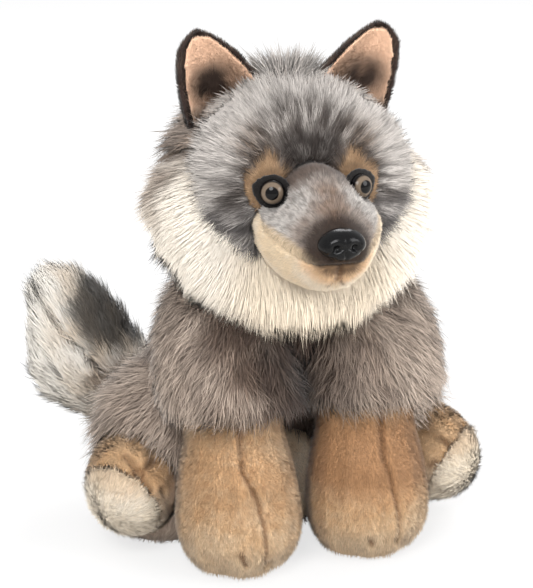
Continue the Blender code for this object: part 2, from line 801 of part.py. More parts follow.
def build_ruff():
    """Cream ruff that runs from cheek to cheek and hangs as a bib under the chin."""
    y = HEAD_Y
    z = HEAD_Z - 0.010
    rows = [
        (0.0, y - 0.058, z + 0.002, 0.20, 0.10, 0.16, 90.0),
        (0.0, y - 0.056, z, 0.50, 0.26, 0.52, 90.0),
        (0.0, y - 0.050, z - 0.002, 0.70, 0.40, 0.86, 90.0),
        (0.0, y - 0.038, z - 0.003, 0.84, 0.50, 1.00, 90.0),
        (0.0, y - 0.022, z - 0.003, 0.94, 0.52, 0.98, 90.0),
        (0.0, y - 0.006, z, 1.00, 0.46, 0.78, 90.0),
        (0.0, y + 0.004, z + 0.002, 0.84, 0.34, 0.50, 90.0),
        (0.0, y + 0.006, z + 0.002, 0.30, 0.16, 0.20, 90.0),
    ]
    rows = scaled(rows, RUFF_HALF_WIDTH, RUFF_DROP, RUFF_DROP)
    ruff = locked_form("cheek_ruff", rows, 28, 5, 0.10, 0.80, 1.4 * PILE_LIFT, cream_pile())
    keep_side(ruff, face_plane(), -1.0)
    keep_side(ruff, (Vector((0.0, CHEEK_Y, 0.0)), Vector((0.0, 1.0, 0.0))), -1.0)
    keep_side(ruff, (Vector((0.0, 0.0, HEAD_Z + CHEEK_TOP)), Vector((0.0, 0.0, 1.0))), -1.0)
    keep_side(ruff, bib_plane(), 1.0)
    keep_main(ruff)
    return ruff


def build_mask():
    """Silver face panel, domed over the brow."""
    base, way = face_plane()
    shapes = (
        (1.00, 0.10, 0.10, 0.10),
        (0.92, 0.42, 0.22, 0.46),
        (0.70, 0.74, 0.54, 0.74),
        (0.38, 0.93, 0.82, 0.90),
        (0.00, 1.00, 1.00, 1.00),
        (-0.15, 0.98, 0.98, 0.98),
    )
    rows = []
    for ahead, width, up, down in shapes:
        place = base + way * (ahead * MASK_DEPTH)
        rows.append((place.x, place.y, place.z, width, up, down, MASK_TILT))
    rows = scaled(rows, MASK_HALF_WIDTH, MASK_HALF_HEIGHT, MASK_HALF_HEIGHT)
    mask = locked_form("face_mask", rows, 22, 3, 0.24, 0.84, 0.6 * PILE_LIFT, silver_pile())
    keep_side(mask, face_plane(), 1.0)
    return mask


def muzzle_rows():
    """Sections of the muzzle from inside the face to its tip."""
    start = MASK_Y - 0.008
    z = MUZZLE_Z
    long = MUZZLE_LENGTH
    rows = [
        (0.0, start + 0.34 * long, z, 0.55, 0.70, 0.80, 90.0),
        (0.0, start + 0.10 * long, z, 0.72, 0.86, 0.90, 90.0),
        (0.0, start - 0.14 * long, z, 0.90, 0.98, 1.00, 90.0),
        (0.0, start - 0.38 * long, z, 1.00, 1.00, 1.00, 90.0),
        (0.0, start - 0.62 * long, z - 0.001, 0.89, 0.86, 0.97, 90.0),
        (0.0, start - 0.86 * long, z - 0.003, 0.70, 0.64, 0.80, 90.0),
        (0.0, start - 1.04 * long, z - 0.005, 0.50, 0.46, 0.58, 90.0),
        (0.0, start - 1.16 * long, z - 0.006, 0.22, 0.22, 0.26, 90.0),
    ]
    return scaled(rows, MUZZLE_HALF_WIDTH, MUZZLE_UP, MUZZLE_DOWN)


def build_muzzle():
    """Grey bridge over the muzzle and its two tan sides, split as they are sewn."""
    slope = math.radians(BRIDGE_EDGE_SLOPE)
    up = Vector((0.0, -math.sin(slope), math.cos(slope)))
    seam = (Vector((0.0, MASK_Y - 0.030, MUZZLE_Z + 0.001)), up)
    end = (nose_tip(), Vector((0.0, -1.0, 0.0)))
    bridge = smooth_form("muzzle_bridge", muzzle_rows(), 20, 9, silver_pile(), taper=MUZZLE_TAPER)
    keep_side(bridge, seam, 1.0)
    pieces = [bridge]
    for side, mirror in SIDES.items():
        cheek = smooth_form("muzzle_side_" + side, muzzle_rows(), 20, 9, tan_plush(), taper=MUZZLE_TAPER)
        keep_side(cheek, seam, -1.0)
        keep_side(cheek, (Vector(), Vector((mirror, 0.0, 0.0))), 1.0)
        pieces.append(cheek)
    for piece in pieces:
        keep_side(piece, face_plane(), 1.0)
        keep_side(piece, end, -1.0)
    return pieces


def nose_outline(angle):
    """Share of the nose's half size at an angle, broad above and narrow below."""
    across = math.sin(angle)
    up = math.cos(angle)
    width = 1.0 - 0.30 * max(0.0, -up) ** 1.5
    height = 1.0 - 0.10 * max(0.0, -up) * (1.0 - abs(across))
    return across * width, up * height


def nose_tip():
    """Middle of the nose's back face, on the muzzle's tip."""
    return Vector((0.0, MASK_Y - 0.008 - 1.10 * MUZZLE_LENGTH, MUZZLE_Z - 0.003))


def build_nose():
    """Moulded nose with nostrils, a lower notch and a stem behind it."""
    tip = nose_tip()
    profile = ((0.03, 0.92), (0.30, 1.0), (0.68, 0.90), (0.92, 0.62), (1.0, 0.28))
    count = 18
    rings = []
    stem = 0.5 * SHANK_DIAMETER
    for back in (SHANK_LENGTH, -0.5 * GAP):
        rings.append([tip + Vector((math.sin(a) * stem, back, math.cos(a) * stem)) for a in even_angles(count)])
    for ahead, share in profile:
        ring = []
        for angle in even_angles(count):
            across, up = nose_outline(angle)
            notch = 0.0012 * share * max(0.0, 1.0 - abs(angle - math.pi) / 0.3)
            wide = 0.5 * NOSE_WIDTH * share * across
            high = 0.5 * NOSE_HEIGHT * share * up + notch
            ring.append(tip + Vector((wide, -ahead * NOSE_DEPTH, high)))
        rings.append(ring)
    nose = skin("nose", rings, black_moulding())
    for side in SIDES.values():
        start = tip + Vector((side * 0.0042, -1.02 * NOSE_DEPTH, 0.0005))
        end = tip + Vector((side * 0.0092, -0.80 * NOSE_DEPTH, -0.0036))
        reach = Vector((0.0, NOSTRIL_DEPTH, 0.0))
        nostril = peg("cutter", start + reach, start - reach, NOSTRIL_RADIUS, 7)
        combine(nose, nostril, "DIFFERENCE")
        bpy.data.objects.remove(nostril, do_unlink=True)
        slit = peg("cutter", start, end, NOSTRIL_SLIT_RADIUS, 5)
        combine(nose, slit, "DIFFERENCE")
        bpy.data.objects.remove(slit, do_unlink=True)
    keep_main(nose)
    return nose


def frame_along(way):
    """Two directions square to a given one."""
    level = Vector((0.0, 0.0, 1.0)) if abs(way.z) < 0.9 else Vector((0.0, 1.0, 0.0))
    side = level.cross(way).normalized()
    return side, way.cross(side).normalized()


def turned(name, start, way, profile, count, material):
    """Turned body: profile gives the distance along way and the radius."""
    side, up = frame_along(way)
    rings = []
    for along, radius in profile:
        middle = start + way * along
        turns = [side * math.sin(angle) + up * math.cos(angle) for angle in even_angles(count)]
        rings.append([middle + radius * turn for turn in turns])
    return skin(name, rings, material)


def peg(name, start, end, radius, count):
    """Plain round bar between two points."""
    way = end - start
    return turned(name, start, way.normalized(), ((0.0, radius), (way.length, radius)), count, black_moulding())


def pierced_plate(name, middle, way, outline, thickness, material):
    """Flat plate of a given outline with a round hole for a stem."""
    side, up = frame_along(way)
    hole = 0.5 * SHANK_DIAMETER + GAP
    mesh = bmesh.new()
    loops = []
    for across, high in outline:
        spoke = (side * across + up * high).normalized()
        rim = middle + side * across + up * high
        inner = middle + spoke * hole
        corners = (inner, rim, rim + way * thickness, inner + way * thickness)
        loops.append([mesh.verts.new(corner) for corner in corners])
    for index, loop in enumerate(loops):
        after = loops[(index + 1) % len(loops)]
        for corner in range(4):
            following = (corner + 1) % 4
            mesh.faces.new((loop[corner], loop[following], after[following], after[corner]))
    bmesh.ops.triangulate(mesh, faces=mesh.faces)
    bmesh.ops.recalc_face_normals(mesh, faces=mesh.faces)
    data = bpy.data.meshes.new(name)
    mesh.to_mesh(data)
    mesh.free()
    made = bpy.data.objects.new(name, data)
    bpy.context.scene.collection.objects.link(made)
    data.materials.append(material)
    return made


def washer(name, middle, way):
    """Lock washer pushed onto a stem inside the head."""
    radius = 0.5 * WASHER_DIAMETER
    outline = [(radius * math.sin(angle), radius * math.cos(angle)) for angle in even_angles(10)]
    return pierced_plate(name, middle, way, outline, WASHER_THICKNESS, white_moulding())


def conformed_pad(name, tree, middle, way, outline, proud, depth, material):
    """Pad with a given outline that follows a surface, proud of it and let into it."""
    side, up = frame_along(way)
    side = -side
    rings = []
    for share, level in ((1.0, -depth), (1.0, 0.6 * proud), (0.8, proud)):
        ring = []
        for across, high in outline:
            spot = middle + side * across * share + up * high * share
            hit = tree.ray_cast(spot + way * 0.03, -way)[0] or spot
            ring.append(hit + way * level)
        rings.append(ring)
    return skin(name, rings, material)


def eye_direction(mirror):
    """Way that an eye looks."""
    return Vector((0.36 * mirror, -1.0, 0.10)).normalized()


def almond(half_width, half_height, count, mirror, lean, point_up, point_in):
    """Outline with a point above and a point at its inner side."""
    outline = []
    for angle in even_angles(count):
        reach_up = 1.0 + point_up * max(0.0, math.cos(angle)) ** 6
        reach_in = 1.0 + point_in * max(0.0, math.cos(angle - 1.5 * math.pi - 0.5)) ** 6
        across = half_width * math.sin(angle) * reach_in + lean * math.cos(angle)
        high = half_height * math.cos(angle) * reach_up
        outline.append((across * mirror, high))
    return outline


def build_eye(side, mirror, tree):
    """Eye, felt rim, plush patch and washer, seated on the face."""
    way = eye_direction(mirror)
    aim = Vector((EYE_X * mirror, HEAD_Y - 0.2, EYE_Z))
    seat = tree.ray_cast(aim, Vector((0.0, 1.0, 0.0)))[0]
    shape = almond(EYE_PATCH_HALF_WIDTH, EYE_PATCH_HALF_HEIGHT, 12, mirror, -0.003, 0.25, 0.15)
    name = "eye_patch_" + side
    patch = conformed_pad(name, tree, seat, way, shape, EYE_PATCH_PROUD, EYE_PATCH_DEPTH, tan_plush())
    radius = 0.5 * EYE_DIAMETER
    wide = radius + EYE_RIM_WIDTH
    outline = [(-across, high) for across, high in almond(wide, 0.95 * wide, 16, mirror, 0.0, 0.0, 0.22)]
    across_way, up_way = frame_along(way)
    highest = 0.0
    for across, high in outline:
        spot = seat + across_way * across + up_way * high
        hit = tree.ray_cast(spot + way * 0.03, -way)[0] or seat
        highest = max(highest, (hit - seat).dot(way))
    front = seat + way * (highest + EYE_PATCH_PROUD + GAP)
    stem = 0.5 * SHANK_DIAMETER
    base = EYE_RIM_THICKNESS + GAP
    profile = [(-SHANK_LENGTH, stem), (base, stem), (base, 0.94 * radius), (base + 0.0006, radius)]
    for step in (0.35, 0.65, 0.85, 0.97):
        profile.append((base + 0.0006 + EYE_DOME * step, radius * math.sqrt(1.0 - step * step)))
    turned("eye_" + side, front, way, profile, 12, amber_moulding())
    pierced_plate("eye_rim_" + side, front, way, outline, EYE_RIM_THICKNESS, black_felt())
    washer("eye_washer_" + side, front - way * (0.8 * SHANK_LENGTH), way)
    return patch, front, way


def ear_section(height, inset, front, back, mirror):
    """Crescent section of an ear at a share of its height."""
    rise = min(max(height, 0.0), 1.0)
    round_off = math.sqrt(max(0.0, 1.0 - (max(0.0, rise - 0.78) / 0.225) ** 2))
    outer_edge = EAR_X + EAR_HALF_WIDTH * (0.84 + 0.28 * math.sin(0.75 * math.pi * rise))
    inner_edge = EAR_X - EAR_HALF_WIDTH * (1.0 - 2.1 * max(0.0, rise - 0.42))
    middle = 0.5 * (outer_edge + inner_edge)
    whole = max(0.5 * (outer_edge - inner_edge) * round_off, 0.0008)
    reach = max(whole - inset, 0.0008) / whole
    z = HEAD_Z + EAR_BASE_RISE + EAR_HEIGHT * rise
    y = EAR_Y - 0.005 * rise
    cup = EAR_CUP * (1.0 - 0.55 * rise)
    steps = 5
    ring = []
    for offset, sign in ((front, 1.0), (back, -1.0)):
        for index in range(steps):
            share = sign * reach * (2.0 * index / (steps - 1) - 1.0)
            depth = cup * min(1.0 - 0.5 * abs(share), 1.5 - 1.5 * abs(share))
            ring.append(Vector(((middle + whole * share) * mirror, y + depth + offset, z)))
    return ring


def ear_thickness(height):
    """Thickness of the ear's back, thinner towards its tip."""
    return EAR_BACK_THICKNESS * (1.5 - 0.7 * max(height, 0.0))


def build_ear(side, mirror):
    """Dark ear back cupped around its peach lining; gives the pocket that holds them."""
    heights = (0.0, 0.23, 0.46, 0.66, 0.82, 0.92, 0.98, 1.0)
    behind = 1.6 * GAP
    lined = EAR_LINING_THICKNESS + behind
    shell = [ear_section(height, 0.0, 0.0, ear_thickness(height), mirror) for height in heights]
    skin("ear_back_" + side, shell, dark_pile(), crescent=True)
    low_heights = heights[:6] + (0.95,)
    inner = [ear_section(height, EAR_LINING_INSET, -lined, -behind, mirror) for height in low_heights]
    skin("ear_lining_" + side, inner, peach_plush(), crescent=True)
    pocket = [
        ear_section(height, -2.0 * GAP, -lined - 3.0 * GAP, ear_thickness(height) + GAP, mirror)
        for height in heights[:4]
    ]
    for point in pocket[0]:
        point.z -= GAP
    cutter = skin("cutter", pocket, None, crescent=True)
    cutter.hide_render = True
    cutter.display_type = "WIRE"
    return cutter


def build_all():
    """Builds every piece and seats each one against those that lie over it."""
    clear_scene()
    torso = build_torso()
    belly = build_belly()
    head_back = build_head_back()
    ruff = build_ruff()
    mask = build_mask()
    tree = surface_of(mask)
    bridge, side_right, side_left = build_muzzle()
    build_nose()
    washer("nose_washer", nose_tip() + Vector((0.0, 0.8 * SHANK_LENGTH, 0.0)), Vector((0.0, -1.0, 0.0)))
    sleeves = {side: build_sleeve("sleeve_" + side, mirror) for side, mirror in SIDES.items()}
    paws = {side: build_fore_paw("fore_paw_" + side, mirror) for side, mirror in SIDES.items()}
    thighs = {side: build_thigh("thigh_" + side, mirror) for side, mirror in SIDES.items()}
    hinds = {side: build_hind_paw("hind_paw_" + side, mirror) for side, mirror in SIDES.items()}
    soles = {side: build_hind_sole("hind_sole_" + side, mirror) for side, mirror in SIDES.items()}
    tail_top, tail_under = build_tail()
    eyes = {side: build_eye(side, mirror, tree) for side, mirror in SIDES.items()}
    ears = {side: build_ear(side, mirror) for side, mirror in SIDES.items()}

    pile_room = GAP + 1.3 * PILE_LIFT
    room = GAP + SOCKET_ROOM
    turn = 90.0 - TAIL_SWING
    carve(mask, socket_for(muzzle_rows(), 9, room, taper=MUZZLE_TAPER))
    muzzle_sides = {"right": side_right, "left": side_left}
    for side, mirror in SIDES.items():
        patch, start, way = eyes[side]
        seat_against(mask, patch)
        bore_for_lock((patch, mask, bridge, muzzle_sides[side]), start, way)
        carve(patch, socket_for(muzzle_rows(), 9, room, taper=MUZZLE_TAPER))
        wide = 0.5 * EYE_DIAMETER + EYE_RIM_WIDTH + room
        carve(bridge, peg("cutter", start, start + way * EYE_DIAMETER, wide, 10))
        combine(mask, ears[side], "DIFFERENCE")
        keep_main(mask)
        carve(head_back, ears[side])
        carve(thighs[side], socket_for(hind_paw_rows(), 10, room, mirror=mirror))
        carve(thighs[side], socket_for(fore_paw_rows(mirror), 10, room, mirror=mirror))
        carve(sleeves[side], socket_for(fore_paw_rows(mirror)[:7], 7, room, mirror=mirror))
        carve(torso, socket_for(fore_paw_rows(mirror)[:7], 7, room, mirror=mirror, count=8))
        carve(torso, socket_for(sleeve_rows(), 7, pile_room, mirror=mirror, count=8, drop=3.0 * PILE_LIFT))
        carve(torso, socket_for(thigh_rows(), 6, pile_room, mirror=mirror, count=8))
    bore_for_lock((bridge, side_right, side_left), nose_tip(), Vector((0.0, -1.0, 0.0)))
    carve(torso, socket_for(belly_rows(), 5, room))
    for piece in (torso, thighs["right"]):
        carve(piece, socket_for(tail_rows(), 7, pile_room, yaw=turn, count=8))

    for item in bpy.data.objects:
        item.data.shade_smooth()
        item.data.set_sharp_from_angle(angle=math.radians(50.0))


build_all()
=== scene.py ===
"""Dresses a sitting plush wolf: pile, plush, eyes, nose, light and camera.

Lengths are metres in the frame of the CAD solids, with the wolf facing -y and its right side at -x. The
bands in each coat are places on the toy where one colour or lie of the pile gives way to the next.
"""

import logging
import math
from dataclasses import dataclass, field
from enum import Enum

import bmesh  # noqa: E402
import bpy  # noqa: E402
import numpy as np  # noqa: E402
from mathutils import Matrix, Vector, noise  # noqa: E402
from mathutils.bvhtree import BVHTree  # noqa: E402

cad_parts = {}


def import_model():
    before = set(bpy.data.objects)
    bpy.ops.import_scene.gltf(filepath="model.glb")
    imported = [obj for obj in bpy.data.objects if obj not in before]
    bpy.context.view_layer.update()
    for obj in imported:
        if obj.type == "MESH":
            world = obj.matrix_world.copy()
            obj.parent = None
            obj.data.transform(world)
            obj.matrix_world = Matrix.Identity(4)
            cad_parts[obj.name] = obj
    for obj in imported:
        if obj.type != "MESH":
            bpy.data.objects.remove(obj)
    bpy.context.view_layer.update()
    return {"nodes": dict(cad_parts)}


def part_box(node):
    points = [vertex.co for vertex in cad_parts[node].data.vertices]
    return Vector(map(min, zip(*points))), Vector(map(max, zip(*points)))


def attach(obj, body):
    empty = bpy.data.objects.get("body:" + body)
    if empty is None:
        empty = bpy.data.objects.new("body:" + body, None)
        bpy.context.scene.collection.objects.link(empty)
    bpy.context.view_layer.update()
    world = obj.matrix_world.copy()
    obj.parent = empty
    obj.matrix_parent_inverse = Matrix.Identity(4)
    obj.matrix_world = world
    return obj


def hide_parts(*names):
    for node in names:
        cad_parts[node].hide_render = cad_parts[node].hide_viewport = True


LOG = logging.getLogger("plush_wolf")
BODY = "root"

HEAD = Vector((0.0, -0.015, 0.200))
EYE_HEIGHT = 0.201
CUFF_HEIGHT = 0.080
EYE_SIDE = 0.0205
EYE_AIM_SIDE = 0.36
EYE_AIM_UP = 0.10
NOSE_BACK = Vector((0.0, -0.1068, 0.183))
FLOOR_GAP = 0.0002
MERGE_GAP = 2e-5
SEAM_REACH = 0.008
SEAM_LINE = 0.55
SEAM_SHRINK = 0.4
SEAM_SHADE_ON_BACKING = 0.55
FLECK_SEED = 12
FLECK_SPREAD = 0.3
FLECK_WARMTH = 0.2
UNDERCOAT_DENSITY = 0.8
UNDERCOAT_WIDTH = 1.25
UNDERCOAT_LENGTH = 0.72
KEPT_FACES = 0.35
KEPT_FACES_SEWN = 0.5
CELL_MARGIN = 0.06
CELL_FILL = 0.88

Colour = tuple[float, float, float]
Place = tuple[float, float, float]


class Nap(Enum):
    """How the hairs of a panel are made."""

    LONG = "long"
    SHORT = "short"


def linear(*levels: float) -> Colour:
    """Linear colour of sRGB levels from 0 to 255."""
    shares = [level / 255.0 for level in levels]
    return tuple(s / 12.92 if s <= 0.04045 else ((s + 0.055) / 1.055) ** 2.4 for s in shares)


TAUPE_ROOT = linear(152, 130, 114)
TAUPE_TIP = linear(96, 76, 64)
TAUPE_PALE = linear(198, 180, 165)
# Dark pile streaks and flecks, and painted shade on the chest, the inner sleeves and the collar.
DARK_PILE_AND_SHADE = linear(66, 50, 42)
CREAM_ROOT = linear(248, 234, 214)
CREAM_TIP = linear(250, 243, 232)
SILVER = linear(208, 201, 195)
SILVER_SHADE = linear(112, 103, 97)
BROW_BROWN = linear(54, 43, 37)
CHEEK_BLUE = linear(128, 124, 123)
CHEEK_DARK = linear(62, 60, 64)
HALO_BROWN = linear(30, 20, 16)
BRIDGE_GREY = linear(220, 214, 208)
BRIDGE_BROWN = linear(140, 112, 92)
BRIDGE_TOP = linear(84, 62, 48)
BRIDGE_CREAM = linear(232, 207, 173)
LIP_TAN = linear(245, 222, 188)
LIP_DEEP = linear(226, 174, 124)
PATCH_TAN = linear(150, 119, 88)
PATCH_PALE = linear(180, 149, 116)
PAW_TAN = linear(228, 188, 143)
PAW_PALE = linear(242, 218, 184)
PAW_DEEP = linear(184, 138, 98)
# Painted shade in the grooves of seams and tucks.
SEAM_PAINTED_SHADE = linear(118, 82, 54)
SOLE_CREAM = linear(250, 238, 218)
TAIL_DARK = linear(24, 17, 13)
TAIL_GREY = linear(196, 184, 172)
TAIL_WARM = linear(226, 194, 156)
TAIL_CREAM = linear(255, 250, 241)
TAIL_ACROSS = np.array((0.959, -0.282, 0.0))
TAIL_UP = np.array((0.083, 0.282, 0.956))
TAIL_EDGE = (
    (0.050, -0.105),
    (0.056, -0.107),
    (0.070, -0.116),
    (0.090, -0.130),
    (0.118, -0.138),
    (0.150, -0.136),
)
EAR_PEACH = linear(253, 214, 184)
EAR_DEEP = linear(246, 200, 168)
EAR_DARK = linear(58, 44, 40)
EAR_BACK = linear(126, 106, 88)
FELT_BLACK = linear(26, 23, 22)
NOSE_BLACK = linear(7, 7, 8)
IRIS_BROWN = linear(94, 82, 70)
PUPIL_BLACK = linear(6, 5, 6)
WASHER_WHITE = linear(222, 222, 218)
FLOOR_BOUNCE = (0.8, 0.78, 0.75)
FLOOR_SEEN = (0.22, 0.22, 0.22)
FLOOR_GLOW = 0.72


def ease(low: float, high: float, value: np.ndarray) -> np.ndarray:
    """Smooth step from 0 at low to 1 at high.

    Args:
        low: Value that gives 0.
        high: Value that gives 1.
        value: Values to step.

    Returns:
        The steps, from 0 to 1.
    """
    share = np.clip((value - low) / (high - low), 0.0, 1.0)
    return share * share * (3.0 - 2.0 * share)


def blend_colours(
    first: np.ndarray, second: Colour | np.ndarray, share: float | np.ndarray
) -> np.ndarray:
    """Mixes two colours at each point.

    Args:
        first: Colours, one row for each point.
        second: One colour or one row for each point.
        share: Share of the second, even or at each point.

    Returns:
        The mixed colours.
    """
    return first + (np.asarray(second) - first) * np.reshape(share, (-1, 1))


def path_distance(points: np.ndarray, normals: np.ndarray, path: tuple[Place, ...]) -> np.ndarray:
    """Distance of each point along its surface from a path of straight runs.

    Args:
        points: Places on a panel.
        normals: Outward directions there.
        path: Corners of the path, near the surface.

    Returns:
        One distance for each point.
    """
    nearest = np.full(len(points), 1.0)
    corners = [np.array(corner) for corner in path]
    for start, end in zip(corners, corners[1:]):
        run = end - start
        share = np.clip((points - start) @ run / max(run @ run, 1e-12), 0.0, 1.0)
        away = points - start - share[:, None] * run
        depth = np.sum(away * normals, axis=1)
        beside = np.linalg.norm(away - depth[:, None] * normals, axis=1)
        nearest = np.minimum(nearest, np.where(np.abs(depth) < SEAM_REACH, beside, 1.0))
    return nearest


def bump_field(points: np.ndarray, size: float, seed: float) -> np.ndarray:
    """Smooth noise from -1 to 1 at each point, with waves of about the given size."""
    scale = 1.0 / size
    shift = Vector((seed, 2.0 * seed, -seed))
    return np.array([noise.noise(Vector(point) * scale + shift) for point in points])


def read_points(mesh: bpy.types.Mesh) -> np.ndarray:
    """Vertex places of a mesh, one row each."""
    flat = np.empty(len(mesh.vertices) * 3)
    mesh.vertices.foreach_get("co", flat)
    return flat.reshape(-1, 3)


def read_normals(mesh: bpy.types.Mesh) -> np.ndarray:
    """Vertex normals of a mesh, one row each."""
    flat = np.empty(len(mesh.vertices) * 3)
    mesh.vertices.foreach_get("normal", flat)
    return flat.reshape(-1, 3)


def write_points(mesh: bpy.types.Mesh, points: np.ndarray) -> None:
    """Sets the vertex places of a mesh."""
    mesh.vertices.foreach_set("co", points.ravel())
    mesh.update()


def unit_rows(rows: np.ndarray) -> np.ndarray:
    """Rows at length 1."""
    return rows / np.maximum(np.linalg.norm(rows, axis=1), 1e-9)[:, None]


def add_object(name: str, mesh: bpy.types.Mesh) -> bpy.types.Object:
    """Links a new object that holds a mesh."""
    made = bpy.data.objects.new(name, mesh)
    bpy.context.scene.collection.objects.link(made)
    return made


def keep_evaluated(item: bpy.types.Object) -> None:
    """Turns an object's modifiers into plain mesh."""
    graph = bpy.context.evaluated_depsgraph_get()
    mesh = bpy.data.meshes.new_from_object(item.evaluated_get(graph), depsgraph=graph)
    item.modifiers.clear()
    old = item.data
    item.data = mesh
    bpy.data.meshes.remove(old)


def merged_copy(name: str, node: str, cad: dict[str, bpy.types.Object]) -> bpy.types.Object:
    """Copy of a CAD node's solid with its loose triangles joined.

    Args:
        name: Name of the copy.
        node: Name of the CAD node.
        cad: CAD nodes by name.

    Returns:
        The new object.
    """
    work = bmesh.new()
    work.from_mesh(cad[node].data)
    bmesh.ops.remove_doubles(work, verts=work.verts, dist=MERGE_GAP)
    bmesh.ops.dissolve_degenerate(work, edges=work.edges, dist=1e-6)
    mesh = bpy.data.meshes.new(name)
    work.to_mesh(mesh)
    work.free()
    return add_object(name, mesh)


@dataclass
class NodeBench:
    """Thin helper over a node tree."""

    tree: bpy.types.NodeTree | None = None

    def node(self, kind: str, **values: object) -> bpy.types.Node:
        """Adds a node.

        Args:
            kind: Blender's node type.
            values: Properties to set on it.

        Returns:
            The node.
        """
        made = self.tree.nodes.new(kind)
        for key, value in values.items():
            setattr(made, key, value)
        return made

    def feed(self, target: bpy.types.NodeSocket, value: object) -> None:
        """Links a socket to an input, or sets its value."""
        if isinstance(value, bpy.types.NodeSocket):
            self.tree.links.new(value, target)
        else:
            target.default_value = value

    def attribute(self, name: str) -> bpy.types.Node:
        """Shader node that reads a mesh attribute."""
        return self.node("ShaderNodeAttribute", attribute_name=name)

    def math(self, operation: str, *values: object) -> bpy.types.NodeSocket:
        """Math node over numbers or sockets."""
        made = self.node("ShaderNodeMath", operation=operation)
        for socket, value in zip(made.inputs, values):
            self.feed(socket, value)
        return made.outputs[0]

    def vector(
        self, operation: str, first: object, second: object = None, scale: object = None
    ) -> bpy.types.NodeSocket:
        """Vector math node.

        Args:
            operation: Blender's operation name.
            first: First vector or socket.
            second: Second vector or socket.
            scale: Scale value or socket.

        Returns:
            The result's socket.
        """
        made = self.node("ShaderNodeVectorMath", operation=operation)
        self.feed(made.inputs[0], first)
        if second is not None:
            self.feed(made.inputs[1], second)
        if scale is not None:
            self.feed(made.inputs["Scale"], scale)
        return made.outputs["Value" if operation in ("DOT_PRODUCT", "DISTANCE") else "Vector"]

    def mix(self, share: object, first: object, second: object) -> bpy.types.NodeSocket:
        """Mixes two colours.

        Args:
            share: Number or socket.
            first: Colour or socket.
            second: Colour or socket.

        Returns:
            The result's socket.
        """
        made = self.node("ShaderNodeMix", data_type="RGBA", clamp_factor=True)
        self.feed(made.inputs[0], share)
        for socket, value in ((made.inputs[6], first), (made.inputs[7], second)):
            self.feed(socket, value if isinstance(value, bpy.types.NodeSocket) else (*value, 1.0))
        return made.outputs[2]

    def noise(self, place: bpy.types.NodeSocket, scale: float, detail: float) -> bpy.types.NodeSocket:
        """Noise at a place, from 0 to 1.

        Args:
            place: Socket of the place.
            scale: Waves in a metre.
            detail: Layers of finer noise.

        Returns:
            The noise's socket.
        """
        made = self.node("ShaderNodeTexNoise")
        made.inputs["Scale"].default_value = scale
        made.inputs["Detail"].default_value = detail
        self.feed(made.inputs["Vector"], place)
        return made.outputs["Fac"]

    def relief(self, height: bpy.types.NodeSocket, strength: float, distance: float) -> bpy.types.NodeSocket:
        """Bumped normal of a height.

        Args:
            height: Socket of the height.
            strength: Share of the bump.
            distance: Size of the bump in metres.

        Returns:
            The normal's socket.
        """
        made = self.node("ShaderNodeBump")
        made.inputs["Strength"].default_value = strength
        made.inputs["Distance"].default_value = distance
        self.feed(made.inputs["Height"], height)
        return made.outputs["Normal"]


def new_material(name: str) -> tuple[bpy.types.Material, NodeBench, bpy.types.Node]:
    """Empty node material with its Principled shader.

    Args:
        name: Name of the material.

    Returns:
        The material, its tree's helper and the shader node.
    """
    made = bpy.data.materials.new(name)
    made.use_nodes = True
    tree = NodeBench(made.node_tree)
    return made, tree, made.node_tree.nodes["Principled BSDF"]


def fibre_group() -> bpy.types.NodeTree:
    """Group that colours a hair from its root to its tip, with painted shade toward the root and its own
    tone.
    """
    name = "fibre_shade"
    made = bpy.data.node_groups.get(name)
    if made:
        return made
    made = bpy.data.node_groups.new(name, "ShaderNodeTree")
    face = made.interface
    for label, kind in (
        ("Root", "NodeSocketColor"),
        ("Tip", "NodeSocketColor"),
        ("Along", "NodeSocketFloat"),
        ("Tone", "NodeSocketFloat"),
        ("Root Dim", "NodeSocketFloat"),
        ("Tone Range", "NodeSocketFloat"),
    ):
        face.new_socket(label, in_out="INPUT", socket_type=kind)
    face.new_socket("Colour", in_out="OUTPUT", socket_type="NodeSocketColor")
    tree = NodeBench(made)
    source = tree.node("NodeGroupInput").outputs
    target = tree.node("NodeGroupOutput").inputs
    along = tree.math("POWER", source["Along"], 1.2)
    colour = tree.mix(along, source["Root"], source["Tip"])
    # Painted shade: each hair is painted darker toward its root, for the shade deep in the pile.
    shade = tree.math("MULTIPLY", tree.math("SUBTRACT", 1.0, source["Along"]), source["Root Dim"])
    lean = tree.math("MULTIPLY", tree.math("SUBTRACT", source["Tone"], 0.5), source["Tone Range"])
    level = tree.math("MULTIPLY", tree.math("SUBTRACT", 1.0, shade), tree.math("ADD", 1.0, lean))
    tree.feed(target["Colour"], tree.vector("SCALE", colour, scale=level))
    return made


@dataclass(frozen=True)
class HairFinish:
    """Finish of pile hairs, coloured by what each hair carries."""

    name: str
    # Share of painted shade at each hair's root.
    root_painted_shade: float = 0.45
    tone_range: float = 0.5
    roughness: float = 0.62
    specular: float = 0.2
    sheen: float = 0.25
    sheen_roughness: float = 0.5

    def make(self) -> bpy.types.Material:
        """Builds the material."""
        made, tree, shader = new_material(self.name)
        group = tree.node("ShaderNodeGroup", node_tree=fibre_group())
        for label, name, output in (
            ("Root", "hair_root", "Color"),
            ("Tip", "hair_tip", "Color"),
            ("Along", "along", "Fac"),
            ("Tone", "tone", "Fac"),
        ):
            tree.feed(group.inputs[label], tree.attribute(name).outputs[output])
        group.inputs["Root Dim"].default_value = self.root_painted_shade
        group.inputs["Tone Range"].default_value = self.tone_range
        tree.feed(shader.inputs["Base Color"], group.outputs["Colour"])
        tree.feed(shader.inputs["Normal"], tree.attribute("lay_normal").outputs["Vector"])
        shader.inputs["Roughness"].default_value = self.roughness
        shader.inputs["Specular IOR Level"].default_value = self.specular
        shader.inputs["Sheen Weight"].default_value = self.sheen
        shader.inputs["Sheen Roughness"].default_value = self.sheen_roughness
        return made


